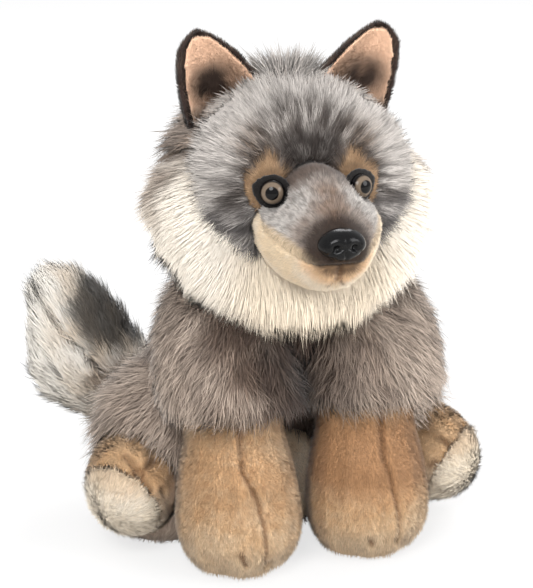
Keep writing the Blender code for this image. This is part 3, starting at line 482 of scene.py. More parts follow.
@dataclass(frozen=True)
class BackingFinish:
    """Finish of the sewn backing under the hairs, with fibre noise and bump."""

    name: str
    level: float = 0.9
    grain: float = 900.0
    bump: float = 0.4
    roughness: float = 0.95
    specular: float = 0.1
    sheen: float = 0.3

    def make(self) -> bpy.types.Material:
        """Builds the material."""
        made, tree, shader = new_material(self.name)
        place = tree.node("ShaderNodeTexCoord").outputs["Object"]
        fine = tree.noise(place, self.grain, 4.0)
        coarse = tree.noise(place, self.grain * 0.12, 2.0)
        mixed = tree.math("ADD", tree.math("MULTIPLY", fine, 0.6), tree.math("MULTIPLY", coarse, 0.4))
        spread = tree.math("ADD", tree.math("MULTIPLY", mixed, 0.4), self.level - 0.2)
        base = tree.attribute("hair_root").outputs["Color"]
        tree.feed(shader.inputs["Base Color"], tree.vector("SCALE", base, scale=spread))
        tree.feed(shader.inputs["Normal"], tree.relief(fine, self.bump, 0.001))
        shader.inputs["Roughness"].default_value = self.roughness
        shader.inputs["Specular IOR Level"].default_value = self.specular
        shader.inputs["Sheen Weight"].default_value = self.sheen
        return made


@dataclass(frozen=True)
class MouldedFinish:
    """Glossy moulded plastic with a faint grain, and a pupil where it has one."""

    name: str
    colour: Colour
    roughness: float = 0.12
    grain: float = 260.0
    relief: float = 0.15
    centre: Place | None = None
    pupil_radius: float = 0.0033
    iris_radius: float = 0.0056
    coat: float = 0.15
    coat_roughness: float = 0.05
    reflection: float = 0.18

    def edge(
        self, tree: NodeBench, distance: bpy.types.NodeSocket, start: float, end: float
    ) -> bpy.types.NodeSocket:
        """Soft edge of a ring.

        Args:
            tree: Helper of the material's tree.
            distance: Socket of the distance from the eye's middle.
            start: Distance at which the edge is 0.
            end: Distance at which it is 1.

        Returns:
            The edge's socket.
        """
        made = tree.node("ShaderNodeMapRange", interpolation_type="SMOOTHSTEP")
        made.inputs["From Min"].default_value = start
        made.inputs["From Max"].default_value = end
        tree.feed(made.inputs["Value"], distance)
        return made.outputs[0]

    def make(self) -> bpy.types.Material:
        """Builds the material."""
        made, tree, shader = new_material(self.name)
        place = tree.node("ShaderNodeTexCoord").outputs["Object"]
        grain = tree.noise(place, self.grain, 3.0)
        pale = tuple(min(1.0, 1.5 * value + 0.004) for value in self.colour)
        colour = tree.mix(grain, self.colour, pale)
        if self.centre:
            distance = tree.vector("DISTANCE", place, self.centre)
            pupil = self.edge(tree, distance, self.pupil_radius - 0.0003, self.pupil_radius + 0.0003)
            colour = tree.mix(pupil, PUPIL_BLACK, colour)
            rim = self.edge(tree, distance, self.iris_radius - 0.0007, self.iris_radius + 0.0004)
            colour = tree.mix(rim, colour, PUPIL_BLACK)
        tree.feed(shader.inputs["Base Color"], colour)
        if self.relief:
            tree.feed(shader.inputs["Normal"], tree.relief(grain, self.relief, 0.0004))
        shader.inputs["Roughness"].default_value = self.roughness
        shader.inputs["Specular IOR Level"].default_value = self.reflection
        shader.inputs["Coat Weight"].default_value = self.coat
        shader.inputs["Coat Roughness"].default_value = self.coat_roughness
        return made


@dataclass
class Surroundings:
    """What lies around the panels: rays find where one is covered."""

    cad: dict[str, bpy.types.Object]
    reach: float = 0.011
    lift: float = 0.0035
    lean: float = 0.8
    ray_share: float = 0.2
    tree: BVHTree | None = None

    def prepare(self) -> None:
        """Builds the search tree of all the solids."""
        points: list[Vector] = []
        faces: list[tuple[int, ...]] = []
        for item in self.cad.values():
            start = len(points)
            points.extend(vert.co.copy() for vert in item.data.vertices)
            faces.extend(tuple(start + index for index in face.vertices) for face in item.data.polygons)
        self.tree = BVHTree.FromPolygons(points, faces)

    def openness(self, points: np.ndarray, normals: np.ndarray) -> np.ndarray:
        """Share of free room over each point, from 0 covered to 1 open.

        Args:
            points: Places on a panel.
            normals: Outward directions there.

        Returns:
            One share for each point.
        """
        open_share = np.ones(len(points))
        for index, (spot, way) in enumerate(zip(points, normals)):
            normal = Vector(way)
            side = normal.orthogonal().normalized()
            other = normal.cross(side)
            start = Vector(spot) + normal * self.lift
            free = 0.0
            for aside in (Vector(), side, -side, other, -other):
                direction = (normal + aside * self.lean).normalized()
                distance = self.tree.ray_cast(start, direction, self.reach)[3]
                free += self.ray_share * (1.0 if distance is None else min(1.0, distance / self.reach) ** 2)
            open_share[index] = free
        return open_share


@dataclass(frozen=True)
class Seam:
    """A sewn line or tuck that draws the panel in, with painted shade along its groove."""

    path: tuple[Place, ...]
    depth: float = 0.0021
    width: float = 0.0015
    shade: float = 0.75
    tint: Colour = SEAM_PAINTED_SHADE


@dataclass
class Coat:
    """What the hairs of a panel do at each point of its backing."""

    comb: np.ndarray
    rise: np.ndarray
    length: np.ndarray
    root: np.ndarray
    tip: np.ndarray
    cover: np.ndarray
    fleck: np.ndarray

    def tint(
        self, colour: Colour | np.ndarray, tip: float | np.ndarray = 0.0, root: float | np.ndarray = 0.0
    ) -> None:
        """Blends a colour into the hairs.

        Args:
            colour: Colour to blend in.
            tip: Share of it at the tips, even or at each point.
            root: Share of it at the roots, even or at each point.
        """
        self.tip = blend_colours(self.tip, colour, tip)
        self.root = blend_colours(self.root, colour, root)


@dataclass
class HairTree(NodeBench):
    """Geometry Nodes tree that scatters bent, tapering hairs over a backing."""

    name: str = "pile_scatter"
    inputs: tuple[tuple[str, str, float], ...] = (
        ("Density", "NodeSocketFloat", 1.0e6),
        ("Width", "NodeSocketFloat", 0.0004),
        ("Jitter", "NodeSocketFloat", 0.25),
        ("Clump", "NodeSocketFloat", 0.6),
        ("Clump Scale", "NodeSocketFloat", 120.0),
        ("Twist", "NodeSocketFloat", 0.9),
        ("Seed", "NodeSocketInt", 3),
        ("Hair", "NodeSocketObject", 0.0),
        ("Finish", "NodeSocketMaterial", 0.0),
    )
    sockets: dict[str, str] = field(default_factory=dict)

    def named(self, name: str, kind: str) -> bpy.types.NodeSocket:
        """Reads a named attribute."""
        made = self.node("GeometryNodeInputNamedAttribute", data_type=kind)
        made.inputs["Name"].default_value = name
        return made.outputs["Attribute"]

    def store(
        self, geometry: object, name: str, kind: str, domain: str, value: object
    ) -> bpy.types.NodeSocket:
        """Stores a named attribute.

        Args:
            geometry: Socket of the geometry.
            name: Name of the attribute.
            kind: Data type.
            domain: Point or instance.
            value: Value or socket.

        Returns:
            The geometry's socket.
        """
        made = self.node("GeometryNodeStoreNamedAttribute", data_type=kind, domain=domain)
        self.feed(made.inputs["Geometry"], geometry)
        made.inputs["Name"].default_value = name
        self.feed(made.inputs["Value"], value)
        return made.outputs["Geometry"]

    def chance(self, kind: str, low: object, high: object, seed: int) -> bpy.types.NodeSocket:
        """Random value for each point."""
        made = self.node("FunctionNodeRandomValue", data_type=kind)
        lowest, highest, drawn = {"FLOAT_VECTOR": (0, 1, 0), "FLOAT": (2, 3, 1)}[kind]
        self.feed(made.inputs[lowest], low)
        self.feed(made.inputs[highest], high)
        made.inputs["Seed"].default_value = seed
        return made.outputs[drawn]

    def interface(self) -> None:
        """Gives the tree its named inputs and its output."""
        face = self.tree.interface
        face.new_socket("Geometry", in_out="INPUT", socket_type="NodeSocketGeometry")
        for label, kind, value in self.inputs:
            socket = face.new_socket(label, in_out="INPUT", socket_type=kind)
            if kind in ("NodeSocketFloat", "NodeSocketInt"):
                socket.default_value = value
            self.sockets[label] = socket.identifier
        face.new_socket("Geometry", in_out="OUTPUT", socket_type="NodeSocketGeometry")

    def direction(self, source: bpy.types.bpy_prop_collection) -> bpy.types.NodeSocket:
        """Turn of each hair: combed along the cloth, raised, swayed in clumps and twisted.

        Args:
            source: Outputs of the group's input node.

        Returns:
            The rotation's socket.
        """
        normal = self.named("lay_normal", "FLOAT_VECTOR")
        comb = self.named("comb", "FLOAT_VECTOR")
        along = self.vector("DOT_PRODUCT", comb, normal)
        flat = self.vector("SUBTRACT", comb, self.vector("SCALE", normal, scale=along))
        flat = self.vector("NORMALIZE", flat)
        waves = self.node("ShaderNodeTexNoise")
        waves.inputs["Detail"].default_value = 2.0
        self.feed(waves.inputs["Scale"], source["Clump Scale"])
        sway = self.vector("SUBTRACT", waves.outputs["Color"], (0.5, 0.5, 0.5))
        sway = self.vector("SCALE", sway, scale=source["Clump"])
        stray = self.chance("FLOAT_VECTOR", (-1.0, -1.0, -1.0), (1.0, 1.0, 1.0), 11)
        stray = self.vector("SCALE", stray, scale=source["Jitter"])
        raised = self.vector("SCALE", normal, scale=self.named("rise", "FLOAT"))
        way = self.vector("ADD", self.vector("ADD", flat, raised), self.vector("ADD", sway, stray))
        turn = self.node("FunctionNodeAxesToRotation", primary_axis="Z", secondary_axis="Y")
        self.feed(turn.inputs[0], way)
        self.feed(turn.inputs[1], normal)
        angle = self.node("FunctionNodeAxisAngleToRotation")
        angle.inputs["Axis"].default_value = (0.0, 0.0, 1.0)
        half = self.math("MULTIPLY", self.chance("FLOAT", -1.0, 1.0, 23), source["Twist"])
        self.feed(angle.inputs["Angle"], half)
        twist = self.node("FunctionNodeRotateRotation", rotation_space="LOCAL")
        self.feed(twist.inputs[0], turn.outputs[0])
        self.feed(twist.inputs[1], angle.outputs[0])
        return twist.outputs[0]

    def size(self, source: bpy.types.bpy_prop_collection) -> bpy.types.NodeSocket:
        """Size of each hair: most are near full length, and a few are long wisps.

        Args:
            source: Outputs of the group's input node.

        Returns:
            The scale's socket.
        """
        rare = self.math("POWER", self.chance("FLOAT", 0.0, 1.0, 31), 9.0)
        share = self.math("MULTIPLY_ADD", rare, 0.45, self.chance("FLOAT", 0.6, 1.05, 37))
        length = self.math("MULTIPLY", self.named("length", "FLOAT"), share)
        made = self.node("ShaderNodeCombineXYZ")
        for socket, value in zip(made.inputs, (source["Width"], length, length)):
            self.feed(socket, value)
        return made.outputs[0]

    def build(self) -> None:
        """Makes the tree."""
        self.tree = bpy.data.node_groups.new(self.name, "GeometryNodeTree")
        self.interface()
        source = self.node("NodeGroupInput").outputs
        target = self.node("NodeGroupOutput").inputs
        spread = self.node("GeometryNodeDistributePointsOnFaces", distribute_method="RANDOM")
        self.feed(spread.inputs["Mesh"], source["Geometry"])
        amount = self.math("MULTIPLY", source["Density"], self.named("cover", "FLOAT"))
        self.feed(spread.inputs["Density"], amount)
        self.feed(spread.inputs["Seed"], source["Seed"])
        outward = spread.outputs["Normal"]
        points = self.store(spread.outputs["Points"], "lay_normal", "FLOAT_VECTOR", "POINT", outward)
        hair = self.node("GeometryNodeObjectInfo")
        self.feed(hair.inputs["Object"], source["Hair"])
        grown = self.node("GeometryNodeInstanceOnPoints")
        self.feed(grown.inputs["Points"], points)
        self.feed(grown.inputs["Instance"], hair.outputs["Geometry"])
        self.feed(grown.inputs["Rotation"], self.direction(source))
        self.feed(grown.inputs["Scale"], self.size(source))
        tone = self.chance("FLOAT", 0.0, 1.0, 47)
        toned = self.store(grown.outputs["Instances"], "tone", "FLOAT", "INSTANCE", tone)
        real = self.node("GeometryNodeRealizeInstances")
        self.feed(real.inputs["Geometry"], toned)
        painted = self.node("GeometryNodeSetMaterial")
        self.feed(painted.inputs["Geometry"], real.outputs["Geometry"])
        self.feed(painted.inputs["Material"], source["Finish"])
        self.feed(target["Geometry"], painted.outputs["Geometry"])


@dataclass(frozen=True)
class HairShape:
    """Outline of a single hair, and its corners laid flat in a cell."""

    points: tuple[Place, ...]
    faces: tuple[tuple[int, ...], ...]
    flat: tuple[tuple[float, float], ...]

    def cell(self) -> np.ndarray:
        """Corners in the cell, face by face."""
        return np.array([self.flat[index] for face in self.faces for index in face])


HAIR_SHAPES = {
    Nap.LONG: HairShape(
        ((-0.5, 0.0, 0.0), (0.5, 0.0, 0.0), (0.4, 0.1, 0.5), (-0.4, 0.1, 0.5), (0.0, 0.0, 1.0)),
        ((0, 1, 2, 3), (3, 2, 4)),
        ((0.1, 0.0), (0.9, 0.0), (0.8, 0.5), (0.2, 0.5), (0.5, 1.0)),
    ),
    Nap.SHORT: HairShape(
        ((-0.5, 0.0, 0.0), (0.5, 0.0, 0.0), (0.0, 0.0, 1.0)),
        ((0, 1, 2),),
        ((0.0, 0.0), (1.0, 0.0), (0.5, 1.0)),
    ),
}


@dataclass
class HairCutter:
    """Single hairs that the tree repeats."""

    shapes: dict[Nap, bpy.types.Object] = field(default_factory=dict)

    def build(self) -> None:
        """Makes a bent hair for long pile and a straight one for plush."""
        for nap, shape in HAIR_SHAPES.items():
            mesh = bpy.data.meshes.new("hair_" + nap.value)
            mesh.from_pydata(shape.points, [], shape.faces)
            along = mesh.attributes.new("along", "FLOAT", "POINT")
            along.data.foreach_set("value", [point[2] for point in shape.points])
            self.shapes[nap] = add_object("hair_" + nap.value, mesh)
            self.shapes[nap].hide_render = True

    def clear(self) -> None:
        """Removes the single hairs."""
        for item in self.shapes.values():
            bpy.data.objects.remove(item)


@dataclass
class Workshop:
    """Shared tools of the build."""

    cad: dict[str, bpy.types.Object]
    around: Surroundings
    hairs: HairCutter
    tree: HairTree
    materials: dict[str, bpy.types.Material] = field(default_factory=dict)

    def material(self, finish: HairFinish | BackingFinish | MouldedFinish) -> bpy.types.Material:
        """Material of a finish, made once."""
        if finish.name not in self.materials:
            self.materials[finish.name] = finish.make()
        return self.materials[finish.name]


@dataclass(frozen=True)
class Layer:
    """One layer of hairs on a panel."""

    suffix: str
    nap: Nap
    density: float
    width: float
    share: float


@dataclass
class Pelt:
    """One sewn panel: its backing from the CAD solid, and its hairs."""

    node: str
    slot: str
    nap: Nap = Nap.LONG
    voxel: float = 0.0031
    smoothing: int = 6
    inset: float = 0.0012
    density: float = 0.9e6
    width: float = 0.0005
    jitter: float = 0.22
    clump: float = 0.7
    clump_scale: float = 110.0
    twist: float = 0.9
    fill: float = 0.8
    # Share of painted shade at each hair's root.
    root_painted_shade: float = 0.3
    tone_range: float = 0.4
    crowding: float = 0.45
    shy: float = 0.34
    tuft: float = 0.004
    dark_level: float = 0.3
    seams: tuple[Seam, ...] = ()

    def coat(self, points: np.ndarray, normals: np.ndarray) -> Coat:
        """Hairs at each point; each kind of panel gives its own.

        Args:
            points: Places on the backing.
            normals: Outward directions there.

        Returns:
            The coat.
        """
        raise NotImplementedError

    def backing(self, shop: Workshop) -> bpy.types.Object:
        """Smooth backing inside the CAD solid's pile.

        Args:
            shop: Shared tools.

        Returns:
            The backing's object.
        """
        skin = merged_copy(self.node + "_backing", self.node, shop.cad)
        remesh = skin.modifiers.new("Remesh", "REMESH")
        remesh.mode = "VOXEL"
        remesh.voxel_size = self.voxel
        relax = skin.modifiers.new("Relax", "SMOOTH")
        relax.factor = 0.5
        relax.iterations = self.smoothing
        keep_evaluated(skin)
        mesh = skin.data
        points = read_points(mesh) - read_normals(mesh) * self.inset
        normals = read_normals(mesh)
        for seam in self.seams:
            drawn = np.exp(-((path_distance(points, normals, seam.path) / seam.width) ** 2))
            points -= normals * (seam.depth * drawn)[:, None]
        points[:, 2] = np.maximum(points[:, 2], FLOOR_GAP)
        write_points(mesh, points)
        mesh.shade_smooth()
        return skin

    def drawn_in(self, points: np.ndarray) -> np.ndarray:
        """Places of the backing where the sewing pulls it in; as they are by default."""
        return points

    def describe(self, skin: bpy.types.Object, coat: Coat) -> None:
        """Writes what the hairs do onto the backing."""
        mesh = skin.data
        for name, kind, values in (
            ("comb", "FLOAT_VECTOR", coat.comb),
            ("rise", "FLOAT", coat.rise),
            ("length", "FLOAT", coat.length),
            ("cover", "FLOAT", coat.cover),
            ("fleck", "FLOAT", coat.fleck),
        ):
            made = mesh.attributes.new(name, kind, "POINT")
            entry = "vector" if kind == "FLOAT_VECTOR" else "value"
            made.data.foreach_set(entry, values.astype(float).ravel())
        for name, values in (("hair_root", coat.root), ("hair_tip", coat.tip)):
            made = mesh.attributes.new(name, "FLOAT_COLOR", "POINT")
            full = np.ones((len(values), 4))
            full[:, :3] = np.clip(values, 0.0, 1.0)
            made.data.foreach_set("color", full.ravel())

    def grow(self, skin: bpy.types.Object, shop: Workshop, layer: Layer) -> bpy.types.Object:
        """Grows one layer of hairs on the backing and cuts them free of it.

        Args:
            skin: The backing.
            shop: Shared tools.
            layer: Which hairs, how many and how wide.

        Returns:
            The pile's object.
        """
        pile = add_object(self.node + layer.suffix, skin.data.copy())
        lengths = np.empty(len(pile.data.vertices))
        data = pile.data.attributes["length"].data
        data.foreach_get("value", lengths)
        data.foreach_set("value", lengths * layer.share)
        name = f"{self.slot}_hair_{round(100 * self.tone_range)}"
        finish = HairFinish(name, self.root_painted_shade, self.tone_range)
        modifier = pile.modifiers.new("Hairs", "NODES")
        modifier.node_group = shop.tree.tree
        values = {
            "Density": layer.density,
            "Width": layer.width,
            "Jitter": self.jitter,
            "Clump": self.clump,
            "Clump Scale": self.clump_scale,
            "Twist": self.twist,
            "Seed": sum(ord(letter) for letter in self.node + layer.suffix),
            "Hair": shop.hairs.shapes[layer.nap],
            "Finish": shop.material(finish),
        }
        for label, value in values.items():
            modifier[shop.tree.sockets[label]] = value
        keep_evaluated(pile)
        ends = read_points(pile.data)
        ends[:, 2] = np.maximum(ends[:, 2], FLOOR_GAP)
        write_points(pile.data, ends)
        self.touch_up(pile.data, layer.nap)
        self.lay_cells(pile.data, layer.nap)
        for name in ("comb", "rise", "length", "cover", "fleck"):
            found = pile.data.attributes.get(name)
            if found:
                pile.data.attributes.remove(found)
        return pile

    def darkened(self, mesh: bpy.types.Mesh, feet: np.ndarray, corners: int) -> np.ndarray:
        """Picks the hairs that are dark, in tufts.

        Args:
            mesh: Mesh of the hairs.
            feet: Foot of each hair.
            corners: Vertices of a hair.

        Returns:
            Whether each vertex is on a dark hair.
        """
        share = np.empty(len(mesh.vertices))
        mesh.attributes["fleck"].data.foreach_get("value", share)
        single = np.random.default_rng(FLECK_SEED).random(len(feet))
        draw = FLECK_SPREAD * single + bump_field(feet, self.tuft, 41.0)
        rank = np.argsort(np.argsort(draw)) / max(1, len(feet))
        return np.repeat(rank, corners) < share

    def sewn(self, mesh: bpy.types.Mesh, feet: np.ndarray, corners: int) -> np.ndarray:
        """Share of each seam at each hair.

        Args:
            mesh: Mesh of the hairs.
            feet: Foot of each hair.
            corners: Vertices of a hair.

        Returns:
            One row for each hair and one column for each seam.
        """
        way = np.empty(len(mesh.vertices) * 3)
        mesh.attributes["lay_normal"].data.foreach_get("vector", way)
        normals = unit_rows(way.reshape(-1, 3)[::corners])
        drawn = np.zeros((len(feet), len(self.seams)))
        for column, seam in enumerate(self.seams):
            away = path_distance(feet, normals, seam.path)
            drawn[:, column] = np.exp(-((away / (SEAM_LINE * seam.width)) ** 2))
        return drawn

    def touch_up(self, mesh: bpy.types.Mesh, nap: Nap) -> None:
        """Darkens single hairs, and paints shade on and shortens the hairs along the seams.

        Args:
            mesh: Mesh of the hairs.
            nap: Which hairs they are.
        """
        corners = len(HAIR_SHAPES[nap].points)
        places = read_points(mesh)
        feet = places[::corners]
        dark = self.darkened(mesh, feet, corners)
        drawn = self.sewn(mesh, feet, corners)
        for name in ("hair_root", "hair_tip"):
            colours = np.empty(len(mesh.vertices) * 4)
            data = mesh.attributes[name].data
            data.foreach_get("color", colours)
            colours = colours.reshape(-1, 4)
            if name == "hair_tip":
                colours[dark, :3] *= self.dark_level
                colours[dark, :3] += np.array(DARK_PILE_AND_SHADE) * FLECK_WARMTH * (1.0 - self.dark_level)
            # Painted shade along the seams' grooves.
            for column, seam in enumerate(self.seams):
                amount = np.repeat(seam.shade * drawn[:, column], corners)
                colours[:, :3] = blend_colours(colours[:, :3], seam.tint, amount)
            data.foreach_set("color", colours.ravel())
        if self.seams:
            shrink = np.repeat(1.0 - SEAM_SHRINK * drawn.max(axis=1), corners)[:, None]
            root = np.repeat(feet, corners, axis=0)
            write_points(mesh, root + (places - root) * shrink)

    def lay_cells(self, mesh: bpy.types.Mesh, nap: Nap) -> None:
        """Gives each hair its own small cell in a map."""
        corner = HAIR_SHAPES[nap].cell()
        count = len(mesh.loops) // len(corner)
        side = max(1, math.ceil(math.sqrt(count)))
        index = np.arange(count)
        origin = np.stack((index % side, index // side), axis=1)
        places = (origin[:, None, :] + CELL_MARGIN + CELL_FILL * corner[None, :, :]) / side
        layer = mesh.uv_layers.new(name="OFBake")
        layer.data.foreach_set("uv", places.reshape(-1))

    def layers(self) -> list[Layer]:
        """Layers of hairs; long pile also has an undercoat."""
        made = [Layer("_pile", self.nap, self.density, self.width, 1.0)]
        if self.nap is Nap.LONG:
            density = UNDERCOAT_DENSITY * self.density
            width = UNDERCOAT_WIDTH * self.width
            made.append(Layer("_undercoat", Nap.SHORT, density, width, UNDERCOAT_LENGTH))
        return made

    def thin_out(self, skin: bpy.types.Object) -> None:
        """Takes the faces that the hairs hide out of the backing."""
        fewer = skin.modifiers.new("Fewer", "DECIMATE")
        fewer.ratio = KEPT_FACES_SEWN if self.seams else KEPT_FACES
        keep_evaluated(skin)

    def make(self, shop: Workshop) -> None:
        """Builds the panel and hands it to the frame.

        Args:
            shop: Shared tools.
        """
        skin = self.backing(shop)
        points = read_points(skin.data)
        normals = read_normals(skin.data)
        coat = self.coat(points, normals)
        free = shop.around.openness(points, normals)
        coat.cover = coat.cover * ease(0.35 * self.shy, self.shy, free)
        coat.length = coat.length * (1.0 - self.crowding * (1.0 - free))
        # Painted shade of the seams' grooves on the backing too.
        for seam in self.seams:
            drawn = np.exp(-((path_distance(points, normals, seam.path) / seam.width) ** 2))
            coat.tint(seam.tint, root=SEAM_SHADE_ON_BACKING * drawn)
        self.describe(skin, coat)
        write_points(skin.data, self.drawn_in(points))
        skin.data.materials.clear()
        skin.data.materials.append(shop.material(BackingFinish(self.slot + "_backing")))
        grown = [self.grow(skin, shop, layer) for layer in self.layers()]
        self.thin_out(skin)
        for item in (skin, *grown):
            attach(item, BODY)
            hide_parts(self.node)
        hairs = sum(len(item.data.polygons) for item in grown)
        LOG.info("%s: %d backing and %d hair faces", self.node, len(skin.data.polygons), hairs)


def full_coat(
    points: np.ndarray, comb: Place, rise: float, length: float, root: Colour, tip: Colour
) -> Coat:
    """Even coat over all points.

    Args:
        points: Places on the backing.
        comb: Way the hairs lie.
        rise: How far they stand up.
        length: Their length.
        root: Colour at their roots.
        tip: Colour at their tips.

    Returns:
        The coat.
    """
    count = len(points)
    return Coat(
        comb=np.tile(np.asarray(comb, float), (count, 1)),
        rise=np.full(count, rise),
        length=np.full(count, length),
        root=np.tile(np.asarray(root, float), (count, 1)),
        tip=np.tile(np.asarray(tip, float), (count, 1)),
        cover=np.ones(count),
        fleck=np.zeros(count),
    )


def bare_floor(coat: Coat, points: np.ndarray, normals: np.ndarray) -> None:
    """Takes the hairs off where a panel rests on the floor."""
    resting = ease(0.004, 0.0015, points[:, 2]) * ease(-0.2, -0.6, normals[:, 2])
    coat.cover *= 1.0 - resting


@dataclass
class BodyPelt(Pelt):
    """Long taupe pile of the trunk, sleeves and haunches."""

    hair: float = 0.017
    pale: float = 0.0
    dark_start: float = 0.040

    def coat(self, points: np.ndarray, normals: np.ndarray) -> Coat:
        """Hangs down and out, mottled, with painted shade on the chest between the forelegs.

        Args:
            points: Places on the backing.
            normals: Outward directions there.

        Returns:
            The coat.
        """
        side = np.abs(points[:, 0])
        high = points[:, 2]
        coat = full_coat(points, (0.0, 0.0, -1.0), 0.42, self.hair, TAUPE_ROOT, TAUPE_TIP)
        coat.comb[:, 0] = 0.35 * np.sign(points[:, 0]) * ease(0.0, 0.03, side)
        coat.comb[:, 1] = 0.25 * np.sign(points[:, 1] + 0.02)
        coat.comb[:, 0] += 0.75 * bump_field(points, 0.016, 21.0)
        coat.comb[:, 1] += 0.6 * bump_field(points, 0.016, 33.0)
        coat.comb[:, 2] += 0.45 * bump_field(points, 0.013, 27.0)
        mottle = bump_field(points, 0.013, 3.0)
        fine = bump_field(points, 0.0045, 9.0)
        pale = ease(-0.15, 0.3, mottle + 0.6 * fine)
        coat.tint(TAUPE_PALE, tip=pale, root=0.6 * ease(0.0, 0.5, mottle))
        dark = ease(-0.12, -0.5, mottle + 0.7 * fine)
        coat.tint(DARK_PILE_AND_SHADE, tip=0.85 * dark, root=0.6 * dark)
        # Painted shade on the chest between the forelegs, below the ruff.
        chest = ease(0.036, 0.006, side) * ease(0.0, -0.03, points[:, 1]) * ease(0.175, 0.140, high)
        coat.tint(DARK_PILE_AND_SHADE, tip=0.85 * chest, root=0.9 * chest)
        if "sleeve" in self.node:
            self.tone_sleeve(coat, points, mottle)
        coat.fleck = 0.26 + 0.2 * ease(0.1, -0.4, mottle)
        coat.length *= 1.0 - 0.35 * ease(0.050, 0.068, side) * ease(0.075, 0.095, high)
        if "thigh" in self.node:
            coat.length *= 1.0 - 0.65 * ease(0.045, 0.012, high)
            coat.fleck *= 0.5
            coat.tint(TAUPE_PALE, root=0.5)
        # Paler tips by the panel's pale share; on the left sleeve this is painted light.
        coat.tint(TAUPE_PALE, tip=self.pale)
        if "sleeve" in self.node:
            coat.length *= 1.0 - 0.25 * ease(CUFF_HEIGHT + 0.020, CUFF_HEIGHT, high)
        bare_floor(coat, points, normals)
        return coat

    def tone_sleeve(self, coat: Coat, points: np.ndarray, mottle: np.ndarray) -> None:
        """Paints light on the outer shoulder, and paints shade on the inner side and on the collar under the
        ruff.

        Args:
            coat: Coat of the sleeve.
            points: Places on the backing.
            mottle: Broad mottling there.
        """
        height = points[:, 2] + 0.006 * mottle
        out = np.abs(points[:, 0]) + 0.006 * mottle
        start = self.dark_start
        # Painted light on the outer shoulder.
        shoulder = ease(0.074, 0.092, height) * ease(start, start + 0.020, out)
        coat.tint(TAUPE_PALE, tip=0.8 * shoulder, root=0.6 * shoulder)
        # Painted shade on the sleeve's inner front, towards the other leg.
        inner = ease(start + 0.002, start - 0.014, out) * ease(0.0, -0.02, points[:, 1])
        coat.tint(DARK_PILE_AND_SHADE, tip=0.75 * inner, root=0.6 * inner)
        # Painted shade under the ruff at the collar.
        collar = ease(0.118, 0.136, height) * ease(0.056, 0.042, np.abs(points[:, 0]))
        coat.tint(DARK_PILE_AND_SHADE, tip=0.6 * collar)


@dataclass
class CrownPelt(Pelt):
    """Long pile of the crown, nape and the sides of the head."""

    hair: float = 0.0155
    lift: float = 0.75

    def coat(self, points: np.ndarray, normals: np.ndarray) -> Coat:
        """Sweeps back from the brow and out at the cheeks.

        Args:
            points: Places on the backing.
            normals: Outward directions there.

        Returns:
            The coat.
        """
        away = points - np.array(HEAD)
        coat = full_coat(points, (0.0, 0.5, -0.4), self.lift, self.hair, TAUPE_ROOT, TAUPE_TIP)
        coat.comb += unit_rows(away * np.array((1.0, 0.3, 0.2))) * 0.8
        streak = bump_field(points, 0.007, 5.0)
        coat.comb[:, 0] += 0.5 * bump_field(points, 0.014, 21.0)
        coat.comb[:, 2] += 0.4 * bump_field(points, 0.014, 33.0)
        coat.tint(TAUPE_PALE, root=0.8)
        coat.tint(DARK_PILE_AND_SHADE, tip=0.6 * ease(0.05, 0.45, streak))
        coat.tint(TAUPE_PALE, tip=0.95 * ease(0.10, -0.2, streak))
        front = ease(0.000, -0.026, points[:, 1]) * ease(0.222, 0.238, points[:, 2])
        coat.tint(SILVER, root=front)
        coat.tint(TAUPE_PALE, tip=0.6 * front)
        top = ease(0.236, 0.250, points[:, 2])
        coat.tint(SILVER, tip=0.6 * top)
        coat.rise = coat.rise + 1.4 * top
        coat.length = coat.length - 0.001 * top
        coat.fleck[:] = 0.3
        by_ear = ease(0.018, 0.026, np.abs(points[:, 0])) * ease(-0.006, -0.016, points[:, 1])
        by_ear = by_ear * ease(0.218, 0.226, points[:, 2])
        coat.length *= 1.0 - 0.6 * by_ear
        return coat


@dataclass
class RuffPelt(Pelt):
    """Cream ruff and bib, with taupe at the cheeks."""

    hair: float = 0.016
    lift: float = 0.40

    def coat(self, points: np.ndarray, normals: np.ndarray) -> Coat:
        """Falls down and out from the face.

        Args:
            points: Places on the backing.
            normals: Outward directions there.

        Returns:
            The coat.
        """
        coat = full_coat(points, (0.0, 0.0, -1.0), self.lift, self.hair, CREAM_ROOT, CREAM_TIP)
        outward = ease(0.02, 0.06, np.abs(points[:, 0]))
        coat.comb[:, 0] = np.sign(points[:, 0]) * outward * 1.0
        coat.comb[:, 1] = 0.35 * ease(0.155, 0.200, points[:, 2])
        coat.comb[:, 2] = -1.0 + 0.55 * outward * ease(0.165, 0.200, points[:, 2])
        high = points[:, 2] - 0.35 * (points[:, 1] + 0.045)
        cheek = ease(0.172, 0.196, points[:, 2]) * ease(-0.052, -0.030, points[:, 1])
        rear = ease(-0.034, -0.018, points[:, 1]) * ease(0.150, 0.180, high)
        brown = np.maximum(cheek, rear) * np.clip(0.85 + 0.7 * bump_field(points, 0.009, 4.0), 0.0, 1.0)
        coat.tint(TAUPE_TIP, tip=0.9 * brown)
        coat.tint(TAUPE_PALE, root=brown)
        coat.fleck = 0.3 * brown
        coat.length *= 1.0 - 0.22 * outward * ease(0.150, 0.175, points[:, 2])
        coat.comb[:, 1] += 0.7 * ease(-0.034, -0.018, points[:, 1])
        chin = ease(0.052, 0.030, np.linalg.norm(points - np.array((0.0, -0.078, 0.162)), axis=1))
        coat.tint(LIP_TAN, tip=0.5 * chin, root=0.5 * chin)
        return coat


